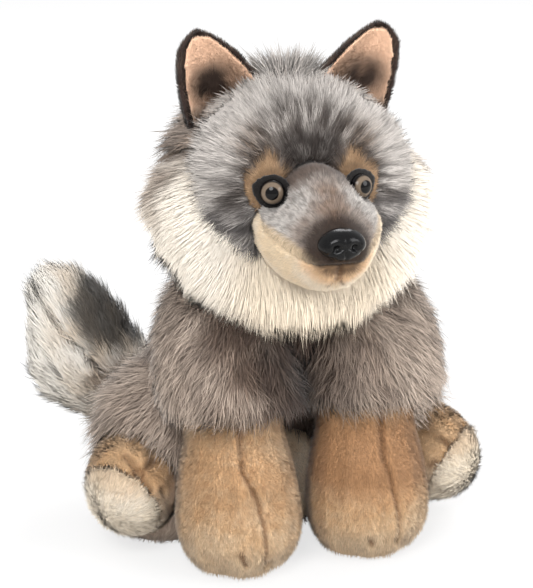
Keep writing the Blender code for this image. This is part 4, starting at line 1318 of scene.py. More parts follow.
@dataclass
class MaskPelt(Pelt):
    """Silver face panel with a dark streaked brow."""

    hair: float = 0.010
    lift: float = 0.42
    centre: Place = (0.0, -0.068, 0.203)

    def coat(self, points: np.ndarray, normals: np.ndarray) -> Coat:
        """Radiates from the bridge; silver on top, brown brow, blue-grey cheeks.

        Args:
            points: Places on the backing.
            normals: Outward directions there.

        Returns:
            The coat.
        """
        centre = np.array(self.centre)
        away = unit_rows(points - centre)
        coat = full_coat(points, (0.0, 0.0, 0.0), self.lift, self.hair, SILVER_SHADE, SILVER)
        coat.comb = away
        side = np.abs(points[:, 0])
        high = points[:, 2]
        spread = np.hypot(side, high - centre[2])
        around = np.arctan2(side, high - centre[2])
        rays = np.stack((around * 0.030, spread * 0.22, np.sign(points[:, 0]) * 0.01), axis=1)
        streak = 1.3 * bump_field(rays, 0.0024, 6.0) + 0.6 * bump_field(points, 0.006, 2.0)
        outer = 0.0345 + 0.014 * ease(0.004, -0.012, high - centre[2])
        band = ease(0.009, 0.014, spread) * ease(0.005, -0.005, spread - outer)
        coat.tint(SILVER, root=ease(0.028, 0.040, spread))
        above = 0.72 + 0.28 * ease(-0.004, 0.008, high - centre[2])
        brow = band * above * np.clip(0.62 + 2.4 * streak, 0.0, 1.0)
        coat.tint(SILVER_SHADE, tip=0.35 * ease(0.228, 0.246, high))
        coat.tint(BROW_BROWN, tip=0.82 * brow, root=0.82 * brow)
        cheek = ease(0.200, 0.188, high)
        coat.tint(CHEEK_BLUE, tip=0.7 * cheek * np.clip(0.7 + streak, 0.0, 1.0))
        coat.tint(CHEEK_DARK, tip=0.85 * cheek * ease(0.0, 0.3, streak), root=0.6 * cheek)
        outer_eye = np.exp(-((side - 0.037) ** 2 + (high - 0.200) ** 2) / 0.010**2)
        outer_eye = outer_eye * np.clip(0.6 + 2.0 * streak, 0.0, 1.0)
        coat.tint(BROW_BROWN, tip=0.75 * outer_eye, root=0.75 * outer_eye)
        warm = np.exp(-((side - 0.026) ** 2 + (high - 0.219) ** 2) / 0.008**2)
        coat.tint(PATCH_TAN, tip=0.55 * warm)
        near_eye = np.exp(-((side - EYE_SIDE) ** 2 + (high - EYE_HEIGHT) ** 2) / 0.0135**2)
        coat.length *= 1.0 - 0.6 * near_eye
        coat.rise -= 0.2 * near_eye
        coat.fleck = 0.14 + 0.30 * ease(0.0, 0.5, streak) + 0.3 * band * above
        near_ear = ease(0.024, 0.034, side) * ease(0.226, 0.236, high)
        coat.length *= 1.0 - 0.65 * near_ear
        near_arch = ease(0.0250, 0.0175, spread) * ease(0.018, 0.011, side)
        coat.length *= 1.0 - 0.35 * near_arch
        coat.tint(HALO_BROWN, tip=0.75 * near_arch, root=0.8 * near_arch)
        return coat


@dataclass
class BridgePelt(Pelt):
    """Short grey pile over the bridge of the muzzle."""

    nap: Nap = Nap.SHORT
    hair: float = 0.0036
    lift: float = 0.35

    def coat(self, points: np.ndarray, normals: np.ndarray) -> Coat:
        """Lies back from the nose, dark at the top and round the nose.

        Args:
            points: Places on the backing.
            normals: Outward directions there.

        Returns:
            The coat.
        """
        coat = full_coat(points, (0.0, 0.8, 0.4), self.lift, self.hair, BRIDGE_GREY, BRIDGE_GREY)
        side = np.abs(points[:, 0])
        coat.comb[:, 0] = 40.0 * points[:, 0]
        streak = bump_field(points, 0.0035, 2.0)
        middle = ease(0.012, 0.002, side) * ease(-0.070, -0.092, points[:, 1])
        coat.tint(BRIDGE_BROWN, tip=np.clip(0.78 * middle + 0.35 * streak, 0.0, 0.9))
        pepper = bump_field(points * np.array((1.0, 0.4, 0.4)), 0.0018, 5.0)
        coat.tint(BRIDGE_TOP, tip=0.4 * ease(0.15, 0.6, pepper))
        crest = ease(0.196, 0.206, points[:, 2]) * ease(-0.088, -0.074, points[:, 1])
        coat.tint(BRIDGE_TOP, tip=0.9 * crest)
        reach = np.linalg.norm((points - np.array(NOSE_BACK)) * np.array((0.8, 0.9, 1.0)), axis=1)
        near_nose = ease(0.0172, 0.0112, reach + 0.0012 * pepper)
        coat.tint(BRIDGE_BROWN, tip=0.5 * ease(0.0225, 0.0165, reach))
        across = -0.959 * side - 0.282 * points[:, 1]
        along = 0.956 * points[:, 2] - 0.083 * side + 0.282 * points[:, 1]
        cream = ease(0.0008, -0.0008, along - 0.1530 + 0.7385 * (across + 0.0003) + 0.0006 * pepper)
        coat.tint(BRIDGE_CREAM, tip=0.95 * cream)
        coat.comb = coat.comb * (1.0 - cream[:, None]) + np.array((0.0, 0.4, -1.0)) * cream[:, None]
        coat.rise -= 0.15 * cream
        coat.tint(HALO_BROWN, tip=0.95 * near_nose)
        coat.root = blend_colours(coat.tip, BRIDGE_TOP, 0.25)
        coat.fleck = 0.42 * (1.0 - cream)
        coat.length *= 1.0 - 0.5 * near_nose
        return coat


@dataclass
class PlushPelt(Pelt):
    """Short tan or cream plush."""

    nap: Nap = Nap.SHORT
    tuft: float = 0.0016
    dark_level: float = 0.74
    tint: Colour = PAW_TAN
    pale_tint: Colour = PAW_PALE
    deep_tint: Colour = PAW_DEEP
    hair: float = 0.0022

    def coat(self, points: np.ndarray, normals: np.ndarray) -> Coat:
        """Brushed down and mottled paler and deeper, paler near the floor, with painted shade on the fore
        legs above the toes.

        Args:
            points: Places on the backing.
            normals: Outward directions there.

        Returns:
            The coat.
        """
        coat = full_coat(points, (0.0, -0.3, -1.0), 1.3, self.hair, self.deep_tint, self.tint)
        coat.comb[:, 0] += 0.6 * bump_field(points, 0.008, 15.0)
        mottle = bump_field(points, 0.018, 8.0) + 0.5 * bump_field(points, 0.005, 1.0)
        coat.tint(self.pale_tint, tip=0.8 * ease(-0.3, 0.8, mottle))
        coat.tint(self.deep_tint, tip=0.45 * ease(-0.3, -0.9, mottle))
        speck = bump_field(points, 0.0024, 18.0)
        coat.tint(self.deep_tint, tip=0.5 * ease(0.1, 0.6, speck))
        coat.tint(self.pale_tint, tip=0.5 * ease(-0.1, -0.6, speck))
        coat.fleck[:] = 0.3
        low = ease(0.034, 0.006, points[:, 2])
        coat.tint(self.pale_tint, tip=0.7 * low)
        if "fore_paw" in self.node:
            # Painted shade on the fore leg above the toes, much stronger on the left paw.
            leg = ease(0.024, 0.048, points[:, 2]) * ease(0.090, 0.070, points[:, 2])
            amount = 0.95 if "left" in self.node else 0.3
            coat.tint(self.deep_tint, tip=amount * leg)
        if "sole" in self.node:
            low_corner, high_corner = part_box(self.node)
            middle = 0.5 * (np.array(low_corner) + np.array(high_corner))
            reach = 0.5 * (high_corner[2] - low_corner[2])
            rim = ease(0.62, 0.88, np.linalg.norm(points - middle, axis=1) / reach)
            coat.comb = unit_rows(points - middle)
            coat.rise = 0.6 - 0.3 * rim
            coat.length *= 1.0 + 0.25 * rim
        if "hind" in self.node:
            height = points[:, 2] + 0.004 * mottle
            coat.tint(PAW_TAN, tip=0.6 * ease(0.034, 0.048, height))
            coat.tint(SOLE_CREAM, tip=0.75 * ease(0.044, 0.026, height))
        coat.root = blend_colours(coat.tip, self.deep_tint, 0.35)
        bare_floor(coat, points, normals)
        return coat


@dataclass
class MuzzlePelt(PlushPelt):
    """Cream plush of the muzzle's sides, browner round the nose."""

    def coat(self, points: np.ndarray, normals: np.ndarray) -> Coat:
        """Brushed back and out from the nose.

        Args:
            points: Places on the backing.
            normals: Outward directions there.

        Returns:
            The coat.
        """
        coat = super().coat(points, normals)
        coat.comb[:] = (0.0, 0.9, -0.3)
        coat.comb[:, 0] = 20.0 * points[:, 0]
        coat.rise[:] = 0.6
        reach = np.linalg.norm((points - np.array(NOSE_BACK)) * np.array((0.8, 1.0, 0.85)), axis=1)
        near_nose = ease(0.0150, 0.0108, reach)
        coat.fleck[:] = 0.0
        coat.tint(LIP_DEEP, tip=0.6 * ease(0.0200, 0.0140, reach))
        coat.tint(HALO_BROWN, tip=0.92 * near_nose)
        coat.root = blend_colours(coat.tip, LIP_DEEP, 0.12)
        return coat


@dataclass
class TailPelt(Pelt):
    """Bushy tail pile; its colours lie in one slanting plane through the tail."""

    under: bool = False
    hair: float = 0.014
    lift: float = 0.4
    way: Place = (-0.055, 0.020, 0.081)
    patch_place: tuple[float, float] = (-0.087, 0.110)
    patch_size: tuple[float, float] = (0.022, 0.024)
    slack: float = 0.006
    deepest: float = 0.009

    def across(self, points: np.ndarray) -> np.ndarray:
        """Place of each point across the tail's flat side."""
        return points @ TAIL_ACROSS

    def along(self, points: np.ndarray) -> np.ndarray:
        """Height of each point up the tail's flat side."""
        return points @ TAIL_UP

    def outline(self, points: np.ndarray) -> np.ndarray:
        """Place of the tail's outer edge at the height of each point."""
        heights, edges = zip(*TAIL_EDGE)
        return np.interp(self.along(points), heights, edges)

    def drawn_in(self, points: np.ndarray) -> np.ndarray:
        """Pulls the outer side in where the tail leaves the body."""
        beyond = self.outline(points) + self.slack - self.across(points)
        return points + TAIL_ACROSS * np.clip(0.75 * beyond, 0.0, self.deepest)[:, None]

    def coat(self, points: np.ndarray, normals: np.ndarray) -> Coat:
        """Runs along the tail to its tip; cream, with one dark patch and a streaked root.

        Args:
            points: Places on the backing.
            normals: Outward directions there.

        Returns:
            The coat.
        """
        way = unit_rows(np.array([self.way]))[0]
        coat = full_coat(points, tuple(way), self.lift, self.hair, CREAM_TIP, TAIL_CREAM)
        coat.comb = coat.comb + normals * 0.2
        coat.comb[:, 0] += 0.35 * bump_field(points, 0.014, 21.0)
        across = self.across(points)
        along = self.along(points)
        mottle = bump_field(points, 0.010, 7.0)
        beside, above = self.patch_place
        wide, tall = self.patch_size
        edge = np.hypot((across - beside) / wide, (along - above) / tall) + 0.18 * mottle
        warm = ease(-0.128, -0.112, across) * np.clip(0.5 + mottle, 0.0, 1.0)
        coat.tint(TAIL_WARM, tip=0.6 * warm, root=0.4 * warm)
        foot = ease(0.092, 0.078, along) * ease(-0.108, -0.094, across + 0.004 * mottle)
        coat.tint(TAUPE_TIP, tip=foot * ease(-0.1, 0.25, bump_field(points, 0.006, 4.0)))
        coat.tint(TAUPE_ROOT, root=0.7 * foot)
        if not self.under:
            crest = ease(0.132, 0.142, along)
            coat.tint(TAIL_GREY, tip=0.7 * crest)
        dark = ease(1.15, 0.82, edge)
        coat.tint(TAIL_DARK, tip=0.95 * dark, root=0.8 * dark)
        coat.fleck = 0.35 * dark * ease(0.3, -0.2, mottle)
        near_edge = ease(0.008, 0.000, across - self.outline(points)) * ease(0.110, 0.090, along)
        coat.length *= 1.0 - 0.35 * near_edge
        return coat


@dataclass
class EarBackPelt(Pelt):
    """Short dark pile on the back and rim of an ear."""

    nap: Nap = Nap.SHORT
    hair: float = 0.0022
    lift: float = 0.9

    def coat(self, points: np.ndarray, normals: np.ndarray) -> Coat:
        """Runs up the ear.

        Args:
            points: Places on the backing.
            normals: Outward directions there.

        Returns:
            The coat.
        """
        coat = full_coat(points, (0.0, 0.0, 1.0), self.lift, self.hair, EAR_DARK, EAR_BACK)
        fine = bump_field(points, 0.004, 3.0)
        coat.tint(EAR_DARK, tip=0.5 * ease(-0.2, 0.3, fine))
        return coat


@dataclass
class EarLiningPelt(Pelt):
    """Peach plush inside an ear, with a dark tuft at its foot."""

    nap: Nap = Nap.SHORT
    hair: float = 0.0013
    lift: float = 0.9

    def coat(self, points: np.ndarray, normals: np.ndarray) -> Coat:
        """Short and even, darker low down and at the inner side.

        Args:
            points: Places on the backing.
            normals: Outward directions there.

        Returns:
            The coat.
        """
        coat = full_coat(points, (0.0, -0.4, 1.0), self.lift, self.hair, EAR_DEEP, EAR_PEACH)
        side = np.abs(points[:, 0])
        tuft = np.exp(-(((side - 0.0385) / 0.0105) ** 2 + ((points[:, 2] - 0.2455) / 0.0085) ** 2))
        tuft = np.clip(1.5 * tuft, 0.0, 1.0)
        foot = ease(0.238, 0.229, points[:, 2])
        coat.comb[:, 0] = 0.6 * np.sign(points[:, 0]) * tuft
        coat.tint(EAR_DARK, tip=0.95 * tuft, root=0.95 * tuft)
        coat.tint(TAUPE_PALE, tip=0.8 * foot)
        coat.tint(TAUPE_ROOT, root=0.8 * foot)
        coat.length += 0.0065 * np.maximum(tuft, foot)
        fold = bump_field(points, 0.011, 2.0)
        coat.tint(EAR_DEEP, tip=0.7 * ease(0.0, 0.5, fold))
        return coat


@dataclass
class PatchPelt(Pelt):
    """Tan plush patch round an eye."""

    nap: Nap = Nap.SHORT
    hair: float = 0.0034
    lift: float = 0.45

    def coat(self, points: np.ndarray, normals: np.ndarray) -> Coat:
        """Runs away from the eye.

        Args:
            points: Places on the backing.
            normals: Outward directions there.

        Returns:
            The coat.
        """
        side = np.sign(points[:, 0])
        centre = np.tile((0.0, -0.066, EYE_HEIGHT), (len(points), 1))
        centre[:, 0] = EYE_SIDE * side
        away = points - centre
        coat = full_coat(points, (0.0, 0.0, 0.0), self.lift, self.hair, PATCH_TAN, PATCH_PALE)
        coat.comb = unit_rows(away)
        out = side * away[:, 0]
        upper = ease(-0.0016, 0.0014, away[:, 2] - 0.0165 + np.where(out > 0.0, 0.95, -1.6) * out)
        coat.tint(PATCH_TAN, tip=ease(-0.2, 0.4, bump_field(points, 0.003, 3.0)))
        silver = 0.7 * ease(0.0, 0.4, bump_field(points, 0.0028, 8.0))
        brow = blend_colours(np.tile(np.asarray(BROW_BROWN), (len(points), 1)), SILVER_SHADE, silver)
        coat.tip = coat.tip * (1.0 - upper[:, None]) + brow * upper[:, None]
        coat.root = coat.root * (1.0 - upper[:, None]) + brow * upper[:, None]
        coat.length += 0.0045 * upper
        rim = ease(0.0100, 0.0082, np.linalg.norm(away * np.array((1.0, 0.3, 1.0)), axis=1))
        coat.tint(BROW_BROWN, tip=0.7 * rim)
        return coat


@dataclass
class FeltPelt(Pelt):
    """Black felt ring under an eye."""

    nap: Nap = Nap.SHORT
    hair: float = 0.0006
    lift: float = 0.6

    def coat(self, points: np.ndarray, normals: np.ndarray) -> Coat:
        """Short fuzz that stands off the felt.

        Args:
            points: Places on the backing.
            normals: Outward directions there.

        Returns:
            The coat.
        """
        coat = full_coat(points, (0.0, 0.0, 1.0), self.lift, self.hair, FELT_BLACK, FELT_BLACK)
        coat.comb = normals + np.array((0.3, 0.1, 0.2))
        return coat


def skin_rings(work: bmesh.types.BMesh, rings: list[list[bmesh.types.BMVert]]) -> None:
    """Joins each ring of vertices to the next."""
    for lower, upper in zip(rings, rings[1:]):
        for index in range(len(lower)):
            after = (index + 1) % len(lower)
            work.faces.new((lower[index], lower[after], upper[after], upper[index]))


def cap_ring(work: bmesh.types.BMesh, ring: list[bmesh.types.BMVert], pole: Vector) -> None:
    """Closes a ring of vertices with a fan to its pole."""
    tip = work.verts.new(pole)
    for index in range(len(ring)):
        work.faces.new((ring[index], ring[(index + 1) % len(ring)], tip))


def moulded_piece(
    name: str, node: str, work: bmesh.types.BMesh, finish: bpy.types.Material
) -> None:
    """Makes a moulded piece from its shape and hands it to the frame.

    Args:
        name: Name of the piece.
        node: CAD node that it stands for.
        work: Its closed shape, which is freed.
        finish: Its material.
    """
    bmesh.ops.recalc_face_normals(work, faces=work.faces)
    mesh = bpy.data.meshes.new(name)
    work.to_mesh(mesh)
    work.free()
    mesh.shade_smooth()
    mesh.materials.append(finish)
    item = add_object(name, mesh)
    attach(item, BODY)
    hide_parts(node)
    LOG.info("%s: %d faces", name, len(mesh.polygons))


@dataclass
class Eye:
    """Moulded eye over its felt rim."""

    side: str
    mirror: float
    facets: int = 48
    dome_rows: int = 14
    cap_depth: float = 0.0052
    seat: float = 0.0055
    foot: float = 0.002
    dome: float = 0.0053
    step: float = 0.0002
    iris_depth: float = 0.0010

    def profile(self, radius: float) -> list[tuple[float, float]]:
        """Height over the seat and radius of each ring, from the foot to the top of the dome."""
        rings = [(-self.foot, 0.45 * radius), (0.0, 0.98 * radius)]
        for row in range(self.dome_rows):
            angle = 0.5 * math.pi * row / self.dome_rows
            rings.append((self.step + self.dome * math.sin(angle), radius * math.cos(angle)))
        return rings

    def make(self, shop: Workshop) -> None:
        """Builds a smooth eye where the CAD eye is.

        Args:
            shop: Shared tools.
        """
        node = "eye_" + self.side
        way = Vector((EYE_AIM_SIDE * self.mirror, -1.0, EYE_AIM_UP)).normalized()
        points = [Vector(vert.co) for vert in shop.cad[node].data.vertices]
        depth = max(point.dot(way) for point in points)
        cap = [point for point in points if point.dot(way) > depth - self.cap_depth]
        middle = sum(cap, Vector()) / len(cap)
        axis = middle - way * middle.dot(way)
        radius = max((point - way * point.dot(way) - axis).length for point in cap)
        across = Vector((0.0, 0.0, 1.0)).cross(way).normalized()
        upright = way.cross(across)
        base = depth - self.seat
        work = bmesh.new()
        rings = []
        for along, reach in self.profile(radius):
            middle = axis + way * (base + along)
            ring = []
            for index in range(self.facets):
                turn = math.tau * index / self.facets
                out = across * math.sin(turn) + upright * math.cos(turn)
                ring.append(work.verts.new(middle + out * reach))
            rings.append(ring)
        skin_rings(work, rings)
        cap_ring(work, rings[-1], axis + way * depth)
        cap_ring(work, rings[0], axis + way * (base - self.foot))
        apex = axis + way * (depth - self.iris_depth)
        finish = MouldedFinish(node + "_moulding", IRIS_BROWN, 0.08, 900.0, 0.0, tuple(apex), coat=0.0)
        moulded_piece(node + "_dome", node, work, shop.material(finish))


@dataclass
class Nose:
    """Moulded nose with nostrils and a notch below."""

    rows: int = 26
    facets: int = 72
    width: float = 0.0245
    height: float = 0.0175
    depth: float = 0.011

    def outline(self, angle: float) -> tuple[float, float]:
        """Share of the half size at an angle."""
        across = math.sin(angle)
        up = math.cos(angle)
        narrow = 1.0 - 0.44 * max(0.0, -up) ** 1.4
        low = 1.0 - 0.10 * max(0.0, -up) * (1.0 - abs(across))
        return across * narrow, up * low

    def hollow(self, across: float, high: float) -> float:
        """Depth of the nostrils and the middle groove at a place on the front."""
        side = abs(across)
        pit = math.exp(-(((side - 0.0044) / 0.0019) ** 2 + ((high - 0.0004) / 0.0017) ** 2))
        slope = (high + 0.0018 + 0.55 * (side - 0.0062)) / 0.0009
        slit = math.exp(-(slope**2 + ((side - 0.0076) / 0.0032) ** 2))
        groove = math.exp(-((side / 0.0008) ** 2)) * (1.0 if high < -0.001 else 0.25)
        return 0.0026 * pit + 0.0014 * slit + 0.0008 * groove

    def make(self, shop: Workshop) -> None:
        """Builds a smooth nose where the CAD nose is.

        Args:
            shop: Shared tools.
        """
        low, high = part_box("nose")
        base = Vector((0.0, low.y + self.depth, 0.5 * (low.z + high.z)))
        work = bmesh.new()
        rings = []
        for row in range(self.rows):
            share = row / (self.rows - 1)
            angle = 0.5 * math.pi * share
            reach = math.cos(angle) ** 0.62 if row < self.rows - 1 else 0.03
            ahead = self.depth * (0.06 + 0.94 * math.sin(angle))
            reach *= 0.93 + 0.07 * min(1.0, 6.0 * share)
            ring = []
            for index in range(self.facets):
                across, up = self.outline(math.tau * index / self.facets)
                wide = 0.5 * self.width * reach * across
                tall = 0.5 * self.height * reach * up
                pit = self.hollow(wide, tall) * min(1.0, 2.5 * max(0.0, share - 0.25))
                ring.append(work.verts.new(base + Vector((wide, -(ahead - pit), tall))))
            rings.append(ring)
        skin_rings(work, rings)
        for ring in (rings[-1], rings[0]):
            cap_ring(work, ring, sum((vert.co for vert in ring), Vector()) / self.facets)
        finish = MouldedFinish("nose_black", NOSE_BLACK, 0.13, 1400.0, 0.2, coat=0.05, reflection=0.12)
        moulded_piece("nose_shell", "nose", work, shop.material(finish))


@dataclass
class Studio:
    """Camera, floor, lamps and world."""

    azimuth: float = -16.4
    elevation: float = 17.1
    distance: float = 1.0
    target: Place = (-0.0105, -0.020, 0.134)
    frame_height: float = 588 * 0.00052

    def camera(self) -> None:
        """Camera at the photograph's angle."""
        data = bpy.data.cameras.new("camera")
        data.sensor_fit = "VERTICAL"
        data.angle = 2.0 * math.atan(0.5 * self.frame_height / self.distance)
        data.clip_start = 0.05
        data.clip_end = 50.0
        item = bpy.data.objects.new("camera", data)
        bpy.context.scene.collection.objects.link(item)
        turn = math.radians(self.azimuth)
        rise = math.radians(self.elevation)
        way = Vector((math.sin(turn) * math.cos(rise), -math.cos(turn) * math.cos(rise), math.sin(rise)))
        item.location = Vector(self.target) + way * self.distance
        item.rotation_euler = way.to_track_quat("Z", "Y").to_euler()
        bpy.context.scene.camera = item

    def floor(self) -> None:
        """Wide pale floor that keeps the shadow."""
        mesh = bpy.data.meshes.new("floor")
        reach = 12.0
        corners = [(-reach, -reach, 0.0), (reach, -reach, 0.0), (reach, reach, 0.0), (-reach, reach, 0.0)]
        mesh.from_pydata(corners, [], [(0, 1, 2, 3)])
        item = add_object("floor", mesh)
        made = bpy.data.materials.new("pale_floor")
        made.use_nodes = True
        tree = NodeBench(made.node_tree)
        made.node_tree.nodes.clear()
        output = tree.node("ShaderNodeOutputMaterial")
        matt = tree.node("ShaderNodeBsdfDiffuse")
        glow = tree.node("ShaderNodeEmission")
        seen = tree.node("ShaderNodeLightPath").outputs["Is Camera Ray"]
        tree.feed(matt.inputs["Color"], tree.mix(seen, FLOOR_BOUNCE, FLOOR_SEEN))
        tree.feed(glow.inputs["Strength"], tree.math("MULTIPLY", seen, FLOOR_GLOW))
        both = tree.node("ShaderNodeAddShader")
        tree.feed(both.inputs[0], matt.outputs[0])
        tree.feed(both.inputs[1], glow.outputs[0])
        tree.feed(output.inputs["Surface"], both.outputs[0])
        mesh.materials.append(made)

    def lamps(self) -> None:
        """Large soft lamps around the wolf."""
        for name, place, size, power, aim in (
            ("key_lamp", (-0.9, -1.5, 1.5), 1.1, 38.0, (0.0, -0.02, 0.13)),
            ("fill_lamp", (1.3, -1.2, 0.9), 1.2, 24.0, (0.0, -0.02, 0.13)),
            ("rim_lamp", (0.5, 1.2, 1.3), 0.9, 16.0, (0.0, 0.0, 0.16)),
        ):
            data = bpy.data.lights.new(name, "AREA")
            data.shape = "DISK"
            data.size = size
            data.energy = power
            item = bpy.data.objects.new(name, data)
            bpy.context.scene.collection.objects.link(item)
            item.location = place
            item.rotation_euler = (Vector(place) - Vector(aim)).to_track_quat("Z", "Y").to_euler()

    def world(self) -> None:
        """Even soft light, and white behind the floor's edge."""
        made = bpy.data.worlds.new("studio")
        made.use_nodes = True
        bpy.context.scene.world = made
        tree = NodeBench(made.node_tree)
        background = made.node_tree.nodes["Background"]
        background.inputs["Color"].default_value = (1.0, 1.0, 1.0, 1.0)
        path = tree.node("ShaderNodeLightPath")
        seen = tree.math("MAXIMUM", path.outputs["Is Camera Ray"], path.outputs["Is Transmission Ray"])
        strength = tree.math("ADD", tree.math("MULTIPLY", seen, 0.1), 0.9)
        tree.feed(background.inputs["Strength"], strength)

    def make(self) -> None:
        """Builds the studio."""
        self.camera()
        self.floor()
        self.lamps()
        self.world()
        bpy.context.scene.view_settings.view_transform = "Standard"


FORE_SEAMS = {
    "right": (
        Seam(
            (
                (-0.038, -0.066, 0.084),
                (-0.0398, -0.0763, 0.0605),
                (-0.0333, -0.0806, 0.0458),
                (-0.0305, -0.0853, 0.0322),
                (-0.030, -0.086, 0.018),
                (-0.030, -0.078, 0.008),
            )
        ),
        Seam(((-0.0432, -0.0857, 0.0187), (-0.0398, -0.0835, 0.0115)), 0.0022, 0.0018, 0.8),
        Seam(((-0.0267, -0.0815, 0.0115), (-0.027, -0.0790, 0.0095)), 0.0020, 0.0018, 0.8),
    ),
    "left": (
        Seam(
            (
                (0.0374, -0.0654, 0.084),
                (0.0366, -0.0733, 0.0571),
                (0.0402, -0.0762, 0.0451),
                (0.0432, -0.0790, 0.030),
                (0.0432, -0.0773, 0.0116),
            )
        ),
        Seam(((0.0279, -0.0786, 0.0155), (0.0290, -0.0770, 0.0120)), 0.0022, 0.0018, 0.8),
    ),
}
HIND_TUCK = (-0.0843, -0.0412, 0.0507)
HIND_SEAMS = {
    "right": (
        Seam((HIND_TUCK, (-0.0899, -0.0316, 0.0575)), 0.0022, 0.0022, 0.6),
        Seam((HIND_TUCK, (-0.0740, -0.0312, 0.0528)), 0.0020, 0.0020, 0.6),
        Seam((HIND_TUCK, (-0.0947, -0.0405, 0.0478)), 0.0020, 0.0020, 0.6),
        Seam(((-0.0724, -0.0413, 0.0399), (-0.0700, -0.0430, 0.0370)), 0.0024, 0.0018, 0.7),
        Seam((HIND_TUCK, (-0.0800, -0.0450, 0.0430)), 0.0020, 0.0022, 0.5),
    ),
    "left": (
        Seam(
            ((0.0650, -0.0380, 0.0600), (0.0824, -0.0410, 0.0503), (0.0860, -0.0425, 0.0470)),
            0.0022,
            0.0020,
            0.7,
        ),
        Seam(((0.0994, -0.0260, 0.0521), (0.0960, -0.0300, 0.0500)), 0.0022, 0.0020, 0.7),
        Seam(((0.0737, -0.0425, 0.0369), (0.0770, -0.0440, 0.0390)), 0.0022, 0.0020, 0.6),
    ),
}
LIP_SEAMS = (
    Seam(((0.0, -0.109, 0.1740), (0.0, -0.107, 0.1660), (-0.004, -0.102, 0.1610)), 0.0016, 0.0012, 0.85),
    Seam(((0.0, -0.107, 0.1660), (0.004, -0.102, 0.1610)), 0.0014, 0.0012, 0.8),
)


def head_panels() -> list[Pelt]:
    """Panels of the mask, the muzzle's bridge, the crown and the ruff."""
    return [
        MaskPelt(
            "face_mask", "silver_pile", voxel=0.0019, smoothing=2, inset=0.0002, density=2.1e6,
            width=0.0003, jitter=0.18, clump=0.5, clump_scale=180.0, crowding=0.2, root_painted_shade=0.2, tuft=0.0022,
        ),
        BridgePelt(
            "muzzle_bridge", "silver_pile", voxel=0.0015, smoothing=2, inset=-0.0003, density=6.2e6,
            width=0.00034, jitter=0.3, crowding=0.1, tuft=0.0014, dark_level=0.22,
        ),
        CrownPelt(
            "head_back", "taupe_long_pile", density=0.6e6, width=0.00045, crowding=0.1, jitter=0.3, shy=0.14,
        ),
        RuffPelt(
            "cheek_ruff", "cream_long_pile", density=1.45e6, width=0.00034, root_painted_shade=0.03, tone_range=0.12,
            clump=0.14, jitter=0.11, twist=0.5, crowding=0.1, shy=0.14,
        ),
    ]


def trunk_panels() -> list[Pelt]:
    """Panels of the trunk, the tail and the belly."""
    body = {"density": 0.5e6, "width": 0.00046, "jitter": 0.32, "crowding": 0.3, "shy": 0.2}
    tail = {"density": 0.72e6, "width": 0.00042, "jitter": 0.26, "clump": 0.3, "crowding": 0.0, "shy": 0.1}
    under = {"under": True, "root_painted_shade": 0.05, "tone_range": 0.12}
    return [
        BodyPelt("torso", "taupe_long_pile", **body),
        TailPelt("tail_top", "dark_long_pile", root_painted_shade=0.1, tone_range=0.2, **tail),
        TailPelt("tail_underside", "cream_long_pile", **under, **tail),
        PlushPelt("belly_panel", "tan_short_plush", density=2.4e6, width=0.00042, tint=SOLE_CREAM),
    ]


def limb_panels(side: str) -> list[Pelt]:
    """Panels of the fore leg and the hind leg of one side.

    Args:
        side: Right or left.

    Returns:
        The panels.
    """
    # The left sleeve is lit: painted light on its tips, and its painted inner shade keeps nearer the chest.
    lit = {"pale": 0.45, "dark_start": 0.024} if side == "left" else {}
    sleeve = {"density": 0.82e6, "width": 0.0004, "jitter": 0.32, "crowding": 0.3, "shy": 0.2}
    thigh = {"density": 0.52e6, "width": 0.00044, "jitter": 0.32, "hair": 0.015, "pale": 0.8}
    plush = {
        "voxel": 0.0017, "smoothing": 6, "inset": 0.0, "density": 2.4e6, "width": 0.00042, "root_painted_shade": 0.2,
        "tone_range": 0.3, "jitter": 0.32, "clump_scale": 240.0, "hair": 0.0028, "crowding": 0.1, "shy": 0.16,
    }
    sole = {**plush, "smoothing": 3, "inset": -0.0006, "hair": 0.0040}
    creams = {"tint": SOLE_CREAM, "pale_tint": CREAM_TIP, "deep_tint": PAW_PALE}
    return [
        BodyPelt("sleeve_" + side, "taupe_long_pile", **sleeve, **lit),
        BodyPelt("thigh_" + side, "taupe_long_pile", **thigh),
        PlushPelt("fore_paw_" + side, "tan_short_plush", seams=FORE_SEAMS[side], **plush),
        PlushPelt("hind_paw_" + side, "tan_short_plush", seams=HIND_SEAMS[side], **plush),
        PlushPelt("hind_sole_" + side, "cream_short_plush", **creams, **sole),
    ]


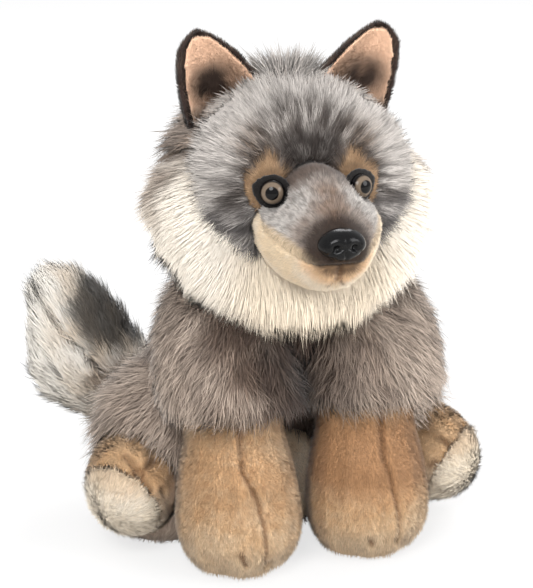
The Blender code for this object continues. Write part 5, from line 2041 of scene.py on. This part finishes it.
def face_panels(side: str) -> list[Pelt]:
    """Panels of the lip, the ear and the eye of one side.

    Args:
        side: Right or left.

    Returns:
        The panels.
    """
    face = {
        "voxel": 0.0014, "smoothing": 2, "inset": -0.0004, "width": 0.00038, "root_painted_shade": 0.2, "crowding": 0.1,
    }
    lip = {"tint": LIP_TAN, "pale_tint": CREAM_ROOT, "deep_tint": LIP_TAN, "seams": LIP_SEAMS}
    ear = {"voxel": 0.0016, "smoothing": 3, "inset": 0.0003, "density": 3.6e6, "width": 0.0004}
    lining = {"voxel": 0.0013, "smoothing": 2, "inset": 0.0002, "density": 5.0e6, "width": 0.00036}
    patch = {**face, "density": 6.0e6, "tone_range": 0.3}
    return [
        MuzzlePelt(
            "muzzle_side_" + side, "tan_short_plush", density=4.2e6, hair=0.0024, tone_range=0.25,
            **lip, **face,
        ),
        EarBackPelt("ear_back_" + side, "dark_long_pile", **ear),
        EarLiningPelt(
            "ear_lining_" + side, "peach_short_plush", crowding=0.2, root_painted_shade=0.1, tone_range=0.2, **lining,
        ),
        PatchPelt("eye_patch_" + side, "tan_short_plush", jitter=0.35, **patch),
        FeltPelt("eye_rim_" + side, "black_felt", fill=0.0, **{**patch, "voxel": 0.0007}),
    ]


def panels() -> list[Pelt]:
    """All the sewn panels, from the head down."""
    made = head_panels() + trunk_panels()
    for side in ("right", "left"):
        made += limb_panels(side) + face_panels(side)
    return made


def dress_small_parts(shop: Workshop) -> None:
    """Gives the lock washers their own material."""
    moulded = shop.material(MouldedFinish("washer_nylon", WASHER_WHITE, 0.4, 400.0, 0.1))
    for name, item in shop.cad.items():
        if "washer" in name:
            item.data.materials.clear()
            item.data.materials.append(moulded)


def main() -> None:
    """Builds every piece in order."""
    logging.basicConfig(level=logging.INFO, format="%(message)s")
    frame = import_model()
    around = Surroundings(frame["nodes"])
    around.prepare()
    hairs = HairCutter()
    hairs.build()
    tree = HairTree()
    tree.build()
    shop = Workshop(frame["nodes"], around, hairs, tree)
    for panel in panels():
        panel.make(shop)
    for side, mirror in (("right", -1.0), ("left", 1.0)):
        Eye(side, mirror).make(shop)
    Nose().make(shop)
    dress_small_parts(shop)
    hairs.clear()
    Studio().make()


if __name__ == "__main__":
    main()
